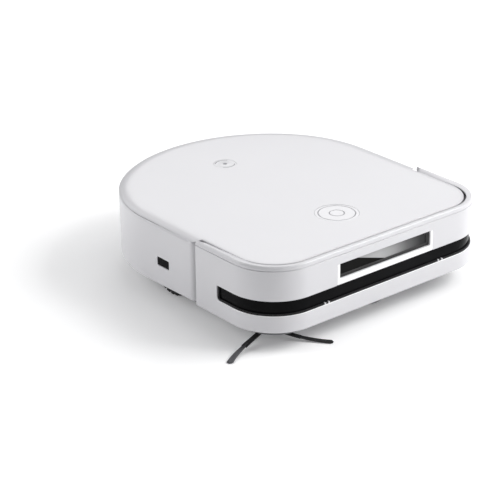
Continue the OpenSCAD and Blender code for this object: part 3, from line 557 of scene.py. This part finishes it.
def half_outline(y_cuts=()):
    """Left half of the outline (+X) from the nose to the tail, with stations at y_cuts."""
    parts = line_stations((0, NOSE_Y), (CORNER_X, NOSE_Y), (0, -1))
    parts += arc_stations(CORNER_X, CORNER_Y, CORNER_R, -math.pi / 2, 0)[1:]
    ys = sorted([CORNER_Y, FLANK_CY, *y_cuts])
    for low, high in zip(ys, ys[1:]):
        parts += line_stations((HALF_W, low), (HALF_W, high), (1, 0))[1:]
    parts += arc_stations(FLANK_X, FLANK_CY, FLANK_R, 0, TAIL_TURN)[1:]
    parts += arc_stations(0, TAIL_CY, TAIL_R, TAIL_TURN, math.pi / 2)[1:]
    return parts


def mirrored(stations):
    """The same stations on the other side, in reverse."""
    return [(Vector((-p.x, p.y)), Vector((-n.x, n.y))) for p, n in reversed(stations)]


def nose_run(end_y, extra=()):
    """Stations from the right side round the nose to the left side, ending at end_y."""
    half = [s for s in half_outline([end_y, *extra]) if s[0].y <= end_y + 1e-6]
    return mirrored(half)[:-1] + half


def swept(name, stations, section, caps=True):
    """Sweeps a closed cross-section of (inset, z) along the stations."""
    rows = []
    for k, (p, n) in enumerate(stations):
        points = section(p, k) if callable(section) else section
        rows.append([(p.x - n.x * i, p.y - n.y * i, z) for i, z in points])
    return grid(name, rows, close_columns=True, caps=caps)


def rounded_box(name, low, high, radius, axis=2):
    """A box with round edges along one axis."""
    u, v = [i for i in range(3) if i != axis]
    outline = fillet([(low[u], low[v], radius), (high[u], low[v], radius),
                      (high[u], high[v], radius), (low[u], high[v], radius)])
    rows = []
    for w in (low[axis], high[axis]):
        row = []
        for a, b in outline:
            point = [0, 0, 0]
            point[u], point[v], point[axis] = a, b, w
            row.append(tuple(point))
        rows.append(row)
    return tidy_normals(grid(name, rows, close_columns=True, caps=True))


def lathe(name, centre, profile, steps=96, closed=False):
    """A solid turned about an upright axis; the profile of (radius, z) ends on it, or is a closed loop."""
    rows = []
    for k in range(steps):
        a = 2 * math.pi * k / steps
        rows.append([(centre[0] + r * math.cos(a), centre[1] + r * math.sin(a), z) for r, z in profile])
    return tidy_normals(grid(name, rows, close_rows=True, close_columns=closed))


# ------------------------------------------------------------------ bumper

BAND_CORNER = 4.0


def band_floor(y, margin=0.0):
    """Lower edge of the band at y: level, and rounded up towards its end."""
    radius = max(0.5, BAND_CORNER - margin)
    centre = BAND_END - margin - radius
    reach = min(max(0.0, y - centre), radius)
    return BAND_Z[0] + margin + radius - math.sqrt(radius ** 2 - reach ** 2)


def band_solid(name, inset_out, inset_in, margin=0.0, top=BAND_Z[1]):
    """A strip that fills the band's opening less a margin, between two insets."""
    radius = max(0.5, BAND_CORNER - margin)
    end = BAND_END - margin
    extra = [end - radius + radius * math.sin(math.radians(a)) for a in (0, 20, 40, 60, 75)]

    def section(p, _):
        low = band_floor(p.y, margin)
        return [(inset_out, low), (inset_out, top), (inset_in, top), (inset_in, low)]
    return tidy_normals(swept(name, nose_run(end, extra), section))


LEDGE_END = -65.0


def ledge(p, n):
    """Inner end of the ledge behind the rim: inset and height. It keeps the bumper's travel free."""
    reach = min(1.0, max(0.0, (LEDGE_END - p.y) / 5)) ** 0.5
    side = 1 - abs(n.y)
    inset = RIM_INSET + 0.3 + (3.3 + 3.0 * side) * reach
    drop = 0.35 + side * (0.7 + 2.2 * min(1.0, max(0.0, (p.y - CORNER_Y) / 58)))
    return inset, RIM_TOP - drop


def rim_section(p, n):
    """The bumper's wall, the groove under its rim, the rounded rim and the ledge behind it."""
    rise = RIM_TOP - CREASE_Z
    deep = 0.95
    points = fillet([(WALL, SKIRT_Z, 0.6), (0, SKIRT_Z, 1.2), (0, CREASE_Z - 0.75, 0.45),
                     (deep, CREASE_Z - 0.55, 0.1)], 4)
    points += [(deep, CREASE_Z - 0.1)]
    for turn in range(0, 91, 9):
        a = math.radians(turn)
        points.append((0.4 + 2.4 * (1 - math.cos(a)), CREASE_Z + 0.1 + (rise - 0.1) * math.sin(a)))
    inset, height = ledge(p, n)
    start = RIM_INSET + 0.1
    points += [(start + (inset - start) * u, RIM_TOP - (RIM_TOP - height) * u ** 1.6)
               for u in (0.2, 0.4, 0.6, 0.8, 0.95)]
    return points + [(inset, height - 0.15), (inset, height - 1.0), (RIM_INSET, RIM_TOP - 3.6),
                     (RIM_INSET, CREASE_Z), (WALL, CREASE_Z - 3)]


CLIP_X = 81.0       # middle of each pair of clips at the band's lower edge
CLIP_GAP = 2.6      # each clip from that middle
PIN_XZ = (34.0, 31.0)


def add_bumper():
    """The bumper's shell, the clips at its band and the pins that guide it."""
    run = nose_run(BUMPER_END, (LEDGE_END, LEDGE_END - 0.5, LEDGE_END - 1.5, LEDGE_END - 3, LEDGE_END - 5))
    bumper = tidy_normals(swept("bumper_skin", run, lambda p, k: rim_section(p, run[k][1])))
    cutters = [band_solid("band_cutter", -3, 8),
               rounded_box("window_cutter", (-BEZEL_HALF - 0.1, NOSE_Y - 5, BAND_Z[1] - 1),
                           (BEZEL_HALF + 0.1, NOSE_Y + 8, BEZEL_Z[1] + 0.1), 1.5, axis=1)]
    cut(bumper, *cutters)
    soften(bumper, 0.45, 3)
    dress(bumper, "white_shell", "bumper", ["bumper_shell"])
    for side in (-1, 1):
        for tooth in (-1, 1):
            x = side * CLIP_X + tooth * CLIP_GAP
            clip = rounded_box(f"bumper_clip_{'lr'[side < 0]}{(tooth + 1) // 2}",
                               (x - 1, NOSE_Y + 0.35, BAND_Z[0] - 1),
                               (x + 1, NOSE_Y + 2.4, BAND_Z[0] + 2.6), 0.8, axis=1)
            dress(soften(clip, 0.2), "white_shell", "bumper")
        pin_start = (side * PIN_XZ[0], NOSE_Y + WALL - 0.5, PIN_XZ[1])
        pin = rod_piece(f"bumper_pin_{'lr'[side < 0]}", pin_start, 1, 18, 2.5)
        dress(pin, "white_shell", "bumper")


def add_band():
    """The dark band: its glass, the frame round it with a painted edge highlight, and the lip below, painted
    pale as a highlight.
    """
    inset = WALL + 0.2
    glass_end = BAND_END + 4
    section = fillet([(inset, BAND_Z[0] - 3, 0.3), (inset, BAND_Z[1] + 3, 0.3),
                      (inset + 1.6, BAND_Z[1] + 3, 0.3), (inset + 1.6, BAND_Z[0] - 3, 0.3)], 2)
    glass = swept("visor_glass", nose_run(glass_end), section)
    gap = rounded_box("gap_cutter", (-BEZEL_HALF - 1, NOSE_Y, BAND_Z[1]),
                      (BEZEL_HALF + 1, NOSE_Y + 8, 70), 1, axis=1)
    cut(tidy_normals(glass), gap)
    dress(tidy_normals(glass), "dark_window", "bumper", ["ir_visor"])
    frame_piece = band_solid("visor_frame", 1.1, WALL + 0.15, 0.25)
    cut(frame_piece, band_solid("frame_cutter", -3, 8, 2.3, BAND_Z[1] + 4))
    dress(soften(frame_piece, 0.25, 2), "band_frame", "bumper")
    bead = 0.55
    lip = [(bead * math.cos(math.radians(a)), bead * math.sin(math.radians(a))) for a in range(0, 360, 30)]
    run = nose_run(BAND_END, [BAND_END - BAND_CORNER * k / 8 for k in range(8)])
    # The lip is the bumper's own edge in a brighter white: a painted highlight.
    piece = swept("band_lip_painted_highlight", run, lambda p, _: [(0.52 + a, band_floor(p.y) - 0.12 + b) for a, b in lip])
    dress(tidy_normals(piece), "bezel_white_and_lip_highlight", "bumper")


# ------------------------------------------------------------------ front window

def add_window():
    """The front window: its bright frame, its glass and the dark gasket in front of the glass."""
    glass_y = NOSE_Y + WINDOW_DEPTH
    frame_piece = rounded_box("bezel_frame", (-BEZEL_HALF, NOSE_Y - 0.05, BEZEL_Z[0]),
                              (BEZEL_HALF, glass_y + 1.8, BEZEL_Z[1]), 1.6, axis=1)
    opening = rounded_box("opening", (-WINDOW_HALF, NOSE_Y - 2, WINDOW_Z[0]),
                          (WINDOW_HALF, NOSE_Y + 9, BEZEL_Z[1] + 4), 1.8, axis=1)
    recess = rounded_box("recess", (-WINDOW_HALF - 2, glass_y - 0.2, WINDOW_Z[0] - 1.5),
                         (WINDOW_HALF + 2, NOSE_Y + 12, BEZEL_Z[1] + 4), 2, axis=1)
    cut(frame_piece, opening, recess)
    dress(soften(frame_piece, 0.3, 2), "bezel_white_and_lip_highlight", "bumper", ["window_bezel"])
    glass = rounded_box("window_glass", (-WINDOW_HALF - 1.8, glass_y, WINDOW_Z[0] - 1.3),
                        (WINDOW_HALF + 1.8, glass_y + 1.8, WINDOW_Z[1] + 1.3), 1.9, axis=1)
    # The glass's colour carries the painted reflection.
    dress(soften(glass, 0.15, 1), "window_painted_reflection", "bumper", ["front_window"])
    gasket = rounded_box("window_gasket", (-WINDOW_HALF + 0.08, glass_y - 0.6, WINDOW_Z[0] + 0.08),
                         (WINDOW_HALF - 0.08, glass_y + 0.05, WINDOW_Z[1] - 0.08), 1.7, axis=1)
    inner = rounded_box("inner", (-WINDOW_HALF + 1.5, NOSE_Y - 2, WINDOW_Z[0] + 3.6),
                        (WINDOW_HALF - 4.6, NOSE_Y + 9, WINDOW_Z[1] + 4), 0.8, axis=1)
    cut(gasket, inner)
    dress(soften(gasket, 0.15, 1), "gasket", "bumper")


# ------------------------------------------------------------------ side wall

RETURN_R = 8.0               # the wall's ends, where they turn in behind the bumper
GROOVE_Z = SEAM_Z - 2.0      # fine line below the seam
SENSOR_Y = (-12.4, 8.0)      # opening of the sensor on the right side
SENSOR_Z = (43.8, 53.8)
GRILLE_HALF = 46.1           # opening of the exhaust grille in the tail
GRILLE_Z = (37.9, 68.1)
CONTACT_X = 27.0             # middle of each charging contact's opening
CONTACT_HALF = 9.1
CONTACT_Z = (25.9, 33.1)


def wall_run():
    """Stations of the wall's outer face, with its ends turned in behind the bumper."""
    x = HALF_W - SHELL_INSET
    half = line_stations((x - 13, SHELL_END), (x - RETURN_R, SHELL_END), (0, -1), 2)
    half += arc_stations(x - RETURN_R, SHELL_END + RETURN_R, RETURN_R, -math.pi / 2, 0, 7.5)[1:]
    body = [s for s in half_outline([SHELL_END + RETURN_R, -40, -30]) if s[0].y > SHELL_END + RETURN_R + 0.1]
    half += [(p - n * SHELL_INSET, n) for p, n in body]
    return half + mirrored(half)[1:]


def wall_section(p, _):
    """The wall is pillowed along its upper and lower edges, most of all next to the bumper."""
    near = 1 - min(1.0, max(0.0, (p.y - SHELL_END) / 75))
    swell = 0.35 + 1.9 * near ** 1.4
    reach = 1.6 + 6.6 * near
    out = []
    for side, edge in ((1, SKIRT_Z), (-1, SEAM_Z)):
        steps = [1.0, 0.965, 0.9, 0.8, 0.65, 0.5, 0.3, 0.12, 0.0]
        rise = [(swell * (1 - math.sqrt(1 - u * u)), edge + side * reach * (1 - u)) for u in steps]
        if side < 0:
            depth = 0.3
            rise = [q for q in rise if abs(q[1] - GROOVE_Z) > 0.45]
            flank = [(swell * (1 - math.sqrt(max(0, 1 - (1 - (SEAM_Z - z) / reach) ** 2)))
                      if SEAM_Z - z < reach else 0.0, z)
                     for z in (GROOVE_Z + 0.3, GROOVE_Z + 0.12, GROOVE_Z - 0.12, GROOVE_Z - 0.3)]
            flank[1] = (flank[1][0] + depth, flank[1][1])
            flank[2] = (flank[2][0] + depth, flank[2][1])
            rise = sorted(rise + flank, key=lambda q: q[1])
        out += rise
    return out + [(WALL, SEAM_Z - 0.3), (WALL, SKIRT_Z + 0.3)]


def add_side_wall():
    """The side wall with its openings, the foot inside its lower edge, and the side sensor's glass."""
    wall = tidy_normals(swept("side_skin", wall_run(), wall_section), 60)
    sensor = rounded_box("sensor_cutter", (-HALF_W - 2, SENSOR_Y[0], SENSOR_Z[0]),
                         (-HALF_W + 8, SENSOR_Y[1], SENSOR_Z[1]), 1.2, axis=0)
    grille = rounded_box("grille_cutter", (-GRILLE_HALF, side_high.y - 20, GRILLE_Z[0]),
                         (GRILLE_HALF, side_high.y + 5, GRILLE_Z[1]), 2, axis=1)
    contacts = [rounded_box("contact_cutter", (s * CONTACT_X - CONTACT_HALF, side_high.y - 16, CONTACT_Z[0]),
                            (s * CONTACT_X + CONTACT_HALF, side_high.y + 5, CONTACT_Z[1]), 1, axis=1)
                for s in (-1, 1)]
    cut(wall, sensor, grille, *contacts)
    tidy_normals(wall, 28)
    dress(wall, "white_shell", "chassis", ["side_shell"])
    half = [s for s in half_outline([SHELL_END + 8]) if s[0].y >= SHELL_END + 7.9]
    outer, inner = SHELL_INSET + WALL - 0.2, 11
    foot = swept("side_foot", half + mirrored(half)[1:],
                 [(outer, SKIRT_Z + 0.3), (outer, SKIRT_Z + 2), (inner, SKIRT_Z + 2), (inner, SKIRT_Z + 0.3)])
    dress(tidy_normals(foot), "white_shell", "chassis")
    lens = rounded_box("side_sensor_glass",
                       (-HALF_W + SHELL_INSET + 0.8, SENSOR_Y[0] + 0.1, SENSOR_Z[0] + 0.1),
                       (-HALF_W + SHELL_INSET + 2.4, SENSOR_Y[1] - 0.1, SENSOR_Z[1] - 0.1), 1.1, axis=0)
    dress(soften(lens, 0.2, 1), "dark_window", "chassis", ["side_sensor_window"])


# ------------------------------------------------------------------ cover

STEP_Y = (-62.0, -55.0)      # where the cover's edge steps in beside the bumper
COVER_FOOT = SEAM_Z + 0.5
CROWN_POWER = 1.8            # roundness of its edge: 2 is an ellipse


def cover_edge(y):
    """Inset of the cover's edge: it steps in beside the bumper."""
    t = min(1.0, max(0.0, (y - STEP_Y[0]) / (STEP_Y[1] - STEP_Y[0])))
    t = t * t * (3 - 2 * t)
    return COVER_FRONT_INSET + (SHELL_INSET - COVER_FRONT_INSET) * t


def crown(inset):
    """Height of the cover's rounded edge at an inset."""
    c = 1 - min(1.0, max(0.0, (inset - SHELL_INSET) / COVER_ROUND))
    return COVER_FOOT + (COVER_TOP - COVER_FOOT) * max(0.0, 1 - c ** CROWN_POWER) ** (1 / CROWN_POWER)


def cover_section(p):
    """The cover's cross-section: its underside, its lower edge and the rounded edge above."""
    edge = cover_edge(p.y)
    inner = SHELL_INSET + COVER_ROUND + 1.0
    front = (edge - SHELL_INSET) / (COVER_FRONT_INSET - SHELL_INSET)
    top = crown(edge + 0.02)
    foot = max(COVER_FOOT, top - 2.2 * front)
    points = [(inner, COVER_TOP - 2.4), (edge + 3.5, max(foot + 0.4, crown(edge + 3.5) - 2.4)),
              (edge + 0.35, foot), (edge, foot + 0.25 + 0.2 * front)]
    count = 12
    first = math.acos(1 - (edge - SHELL_INSET) / COVER_ROUND)
    for j in range(count + 1):
        a = first + (math.pi / 2 - first) * (j / count) ** 1.35
        inset = SHELL_INSET + COVER_ROUND * (1 - math.cos(a))
        round_off = 0.45 * front * max(0.0, 1 - (inset - edge) / 0.9) ** 2
        height = max(points[3][1] + 0.02 * (j + 1), crown(inset) - round_off)
        points.append((max(inset, edge + 0.01), height))
    points += [(inner, COVER_TOP), (inner + 1.5, COVER_TOP), (inner + 3, COVER_TOP)]
    return points


def add_cover():
    """The lift-off cover, with a hole for the start button and a pocket for the badge."""
    steps = [STEP_Y[0] + (STEP_Y[1] - STEP_Y[0]) * k / 12 for k in range(13)]
    half = half_outline(steps)
    stations = half + mirrored(half)[1:-1]
    rows = []
    for p, n in stations:
        rows.append([(p.x - n.x * i, p.y - n.y * i, z) for i, z in cover_section(p)])
    cover = grid("cover_skin", rows, close_rows=True)
    bm = bmesh.new()
    bm.from_mesh(cover.data)
    bmesh.ops.holes_fill(bm, edges=[e for e in bm.edges if e.is_boundary])
    bm.to_mesh(cover.data)
    bm.free()
    tidy_normals(cover)
    hole = lathe("hole", START_XY, [(0, 80), (START_R + 0.15, 80), (START_R + 0.15, 100), (0, 100)], 96)
    pocket = lathe("pocket", BADGE_XY, [(0, COVER_TOP - 0.5), (BADGE_R + 0.12, COVER_TOP - 0.5),
                                        (BADGE_R + 0.12, 100), (0, 100)], 128)
    cut(cover, hole, pocket)
    tidy_normals(cover, 25)
    dress(cover, "white_cover", "cover", ["top_cover"])


def quarter_round(outer, top, radius):
    """Profile points of a round upper edge."""
    turns = [math.radians(a) for a in range(0, 91, 18)]
    return [(outer - radius + radius * math.cos(a), top - radius + radius * math.sin(a)) for a in turns]


def add_start_button():
    """The start button: a round cap with a fine ring near its edge."""
    top = COVER_TOP - 0.02
    low = start_low.z
    profile = [(0, low), (START_R + 1.4, low), (START_R + 1.5, low + 0.1), (START_R + 1.5, low + 1.3),
               (START_R, low + 1.4)]
    profile += quarter_round(START_R, top, 0.5)
    profile += [(START_R - 4.6, top), (START_R - 4.9, top - 0.06), (START_R - 5.2, top), (0, top)]
    dress(lathe("start_cap", START_XY, profile), "white_cover", "start", ["start_button"])


def add_badge():
    """A plain disc with two inlaid rings."""
    top = COVER_TOP - 0.03
    profile = [(0, COVER_TOP - 0.5), (BADGE_R - 0.1, COVER_TOP - 0.5)]
    profile += quarter_round(BADGE_R - 0.05, top, 0.3)
    for radius in (BADGE_R - 4.0, 8.0):
        profile += [(radius + 0.6, top), (radius + 0.45, top - 0.25), (radius - 0.45, top - 0.25),
                    (radius - 0.6, top)]
        inlay = [(radius + 0.42, top - 0.24), (radius + 0.38, top - 0.08), (radius - 0.38, top - 0.08),
                 (radius - 0.42, top - 0.24)]
        ring = lathe(f"badge_ring_{int(radius)}", BADGE_XY, inlay, 128, closed=True)
        dress(ring, "mark_grey", "cover")
    profile.append((0, top))
    dress(lathe("badge_disc", BADGE_XY, profile, 128), "badge", "cover", ["cover_emblem"])


# ------------------------------------------------------------------ side brush

hub_low, hub_high = box_mm("side_brush_hub")
HUB_XY = Vector(((hub_low.x + hub_high.x) / 2, (hub_low.y + hub_high.y) / 2))
BRUSH_REACH = 69.3          # tip of the bristles, from the hub's axis
ARM_TURN = 188.0            # first arm's direction, in degrees
ARM_BEND = (9.4, 1.2, 5.0)  # how far each arm's tip is bent back, in degrees
ARM_ROOT_Z = 9.7            # drop of an arm from its root to its tip
ARM_END = 0.45              # share of the reach at which the moulded arm ends
TUFT_ROOT = 0.36            # and at which its bristles start, inside it
STRANDS = 150               # bristles in a tuft
HUB_Z = hub_low.z


def arm_point(turn, bend, s, across=0.0, lift=0.0):
    """A point along an arm: s goes from the hub to the tip, across is sideways, lift is upwards."""
    radius = 8 + (BRUSH_REACH - 8) * s
    angle = math.radians(turn + bend * s * s)
    heading = angle + math.radians(2 * bend * s * s)
    height = 0.6 + ARM_ROOT_Z * (1 - s) ** 1.9
    return (HUB_XY.x + radius * math.cos(angle) - across * math.sin(heading),
            HUB_XY.y + radius * math.sin(angle) + across * math.cos(heading), height + lift)


def add_side_brush():
    """Three moulded arms, each with a tuft of bristles, and the hub cap."""
    draw = random.Random(7)
    for i, bend in enumerate(ARM_BEND):
        turn = ARM_TURN + 120 * i
        rows = []
        steps = 14
        for k in range(steps + 1):
            s = ARM_END * k / steps
            half_w = 3.0 + 0.4 * (k / steps) ** 3
            half_h = 1.0 - 0.15 * k / steps
            ring = fillet([(-half_w, -half_h, 0.6), (half_w, -half_h, 0.6), (half_w, half_h, 0.6),
                           (-half_w, half_h, 0.6)], 2)
            rows.append([arm_point(turn, bend, s, a, b + 0.2) for a, b in ring])
        arm = tidy_normals(grid(f"brush_arm_{i}", rows, close_columns=True, caps=True))
        dress(arm, "brush_arm", "side_brush", ["side_brush_arms"] if i == 0 else ())
        strands = []
        for _ in range(STRANDS):
            a, b = draw.uniform(-1, 1), draw.uniform(-1, 1)
            reach = 1.0 - 0.035 * draw.random() - 0.03 * a * a
            points, radii = [], []
            for k in range(8):
                s = TUFT_ROOT + (reach - TUFT_ROOT) * k / 7
                spread = 1.5 + 2.0 * max(0.0, (s - TUFT_ROOT) / (1 - TUFT_ROOT)) ** 0.7
                flat = 0.75 - 0.3 * k / 7
                points.append(arm_point(turn, bend, s, a * spread, 0.3 + b * flat))
                radii.append(0.26 - 0.06 * k / 7)
            points = [(x, y, max(z, 0.3)) for x, y, z in points]
            strands.append((points, radii))
        tuft = tidy_normals(joined_tubes(f"brush_tuft_{i}", strands, 4), 80)
        # Tuft 1 takes the darker arm material as painted shade; all tufts are one bristle.
        dress(tuft, "brush_arm" if i == 1 else "bristle", "side_brush")
    cap = [(0, 0), (8.6, 0), (9.6, 0.3), (10, 0.9), (10, 3.4), (9.4, 4), (3, 4), (3, 16.8), (0, 17)]
    hub = lathe("brush_hub_cap", HUB_XY, [(radius, HUB_Z + z) for radius, z in cap])
    dress(hub, "brush_hub", "side_brush", ["side_brush_hub"])


# ------------------------------------------------------------------ main brush

blade_low, blade_high = box_mm("brush_blades")
ROLLER_YZ = ((blade_low.y + blade_high.y) / 2, (blade_low.z + blade_high.z) / 2)
ROLLER_R = (blade_high.z - blade_low.z) / 2
CORE_R = 12.6               # where the bristles leave the roller
BRISTLE_STEP = 2.5          # from one clump to the next along the roller
CLUMPS = 30                 # clumps on each side of the middle
WIND = 16 / 75              # how far a row winds round, in degrees a millimetre


def add_main_brush():
    """Rows of bristle tufts that wind round the roller between its rubber blades."""
    draw = random.Random(11)
    strands = []
    for row in range(6):
        for k in range(-CLUMPS, CLUMPS + 1):
            x = k * BRISTLE_STEP + draw.uniform(-0.2, 0.2)
            for _ in range(4):
                angle = math.radians(22 + 60 * row + WIND * abs(x) + draw.uniform(-1.5, 1.5))
                reach = ROLLER_R - 0.4 - 0.8 * draw.random()
                lean = x + draw.uniform(-0.7, 0.7)
                across, up = math.cos(angle), math.sin(angle)
                points = [(along, ROLLER_YZ[0] + radius * across, ROLLER_YZ[1] + radius * up)
                          for along, radius in ((x, CORE_R), (lean, reach))]
                strands.append((points, [0.24, 0.18]))
    dress(tidy_normals(joined_tubes("roller_bristles", strands, 4), 80), "bristle", "main_brush")


# ------------------------------------------------------------------ springs

def add_springs():
    """Return springs of the bumper, and the springs that push the drive wheels down."""
    low, high = box_mm("bumper_springs")
    radius, length = (high.z - low.z) / 2, high.y - low.y
    for side, x in (("l", high.x - radius), ("r", low.x + radius)):
        spring = coil(f"bumper_spring_{side}", (x, low.y, low.z + radius), 1, length, radius - 0.6, 0.55, 4)
        dress(spring, "steel", "chassis", ["bumper_springs"])
        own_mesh(spring)
    for side in ("left", "right"):
        low, high = box_mm(f"suspension_spring_{side}")
        radius = (high.x - low.x) / 2
        x, y = (low.x + high.x) / 2, (low.y + high.y) / 2
        spring = coil(f"wheel_spring_{side}", (x, y, low.z), 2, high.z - low.z, radius - 0.9, 0.8, 5)
        dress(spring, "steel", None, [f"suspension_spring_{side}"])
        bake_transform(spring)


# ------------------------------------------------------------------ camera, light and floor

AZIMUTH, ELEVATION, ROLL = math.radians(-40.24), math.radians(23.07), math.radians(-0.21)
DISTANCE = 1.931            # metres
AIM = Vector((0, 0, 0.057))
SENSOR = 36.0
FOCAL_FRAMES = 3.484        # focal length in widths of the frame
SHIFT = (-0.0517, -0.0655)


def add_camera():
    """The camera at the photograph's angle."""
    back = Vector((math.sin(AZIMUTH) * math.cos(ELEVATION), -math.cos(AZIMUTH) * math.cos(ELEVATION),
                   math.sin(ELEVATION)))
    data = bpy.data.cameras.new("camera")
    data.sensor_width = SENSOR
    data.lens = FOCAL_FRAMES * SENSOR
    data.shift_x, data.shift_y = SHIFT
    camera = bpy.data.objects.new("camera", data)
    bpy.context.scene.collection.objects.link(camera)
    camera.location = AIM + back * DISTANCE
    turn = back.to_track_quat("Z", "Y").to_matrix().to_4x4()
    camera.rotation_euler = (turn @ Matrix.Rotation(ROLL, 4, "Z")).to_euler()
    bpy.context.scene.camera = camera


LIGHT_AIM = Vector((0, 0, 0.04))
WORLD_STRENGTH = 0.14
FLOOR_GLOW = 0.175          # the floor's own light, as bounced back in a white studio
# Name, place in metres, side in metres and power in watts of each soft light
SOFTBOXES = [("key_right", (1.62, -1.37, 1.66), 1.4, 50), ("low_right", (1.03, -2.22, 1.14), 1.4, 10),
             ("side_right", (2.2, -0.2, 1.55), 1.4, 9), ("back_left", (-0.18, 2.2, 1.55), 1.4, 8),
             ("back_right", (1.43, 1.69, 1.55), 1.4, 11), ("fill_left", (-1.78, 1.51, 1.35), 1.4, 28),
             ("top", (0.97, -0.82, 2.38), 1.6, 11)]


def add_softbox(name, location, side, power):
    """A square soft light that faces the object."""
    data = bpy.data.lights.new(name, "AREA")
    data.shape = "RECTANGLE"
    data.size = side
    data.size_y = side
    data.energy = power
    light = bpy.data.objects.new(name, data)
    bpy.context.scene.collection.objects.link(light)
    light.location = location
    light.rotation_euler = (Vector(location) - LIGHT_AIM).to_track_quat("Z", "Y").to_euler()


def add_world():
    """Even, faint light from all round."""
    world = bpy.data.worlds.new("studio")
    bpy.context.scene.world = world
    world.use_nodes = True
    background = world.node_tree.nodes["Background"]
    background.inputs["Color"].default_value = (0.97, 0.98, 1.0, 1)
    background.inputs["Strength"].default_value = WORLD_STRENGTH


def add_floor():
    """A plain pale floor, 16 m square."""
    half = 8000
    floor = mesh_object("floor", [(-half, -half, 0), (half, -half, 0), (half, half, 0), (-half, half, 0)],
                        [(0, 1, 2, 3)])
    material, tree, shader = new_material("studio_floor")
    coords = tree.nodes.new("ShaderNodeTexCoord").outputs["Object"]
    tree.links.new(mixed(tree, mapped(tree, noise(tree, coords, 2), 0, 1), (0.95, 0.95, 0.95),
                         (0.96, 0.96, 0.96)), shader.inputs["Base Color"])
    shader.inputs["Roughness"].default_value = 0.9
    shader.inputs["Specular IOR Level"].default_value = 0.1
    shader.inputs["Emission Color"].default_value = (0.98, 0.98, 1.0, 1)
    shader.inputs["Emission Strength"].default_value = FLOOR_GLOW
    floor.data.materials.append(material)


# ------------------------------------------------------------------ building

add_bumper()
add_band()
add_window()
add_side_wall()
add_cover()
add_start_button()
add_badge()
add_side_brush()
add_main_brush()
add_springs()
add_camera()
add_world()
for softbox in SOFTBOXES:
    add_softbox(*softbox)
add_floor()
bpy.context.scene.view_settings.view_transform = "Standard"
bpy.context.scene.view_settings.look = "None"
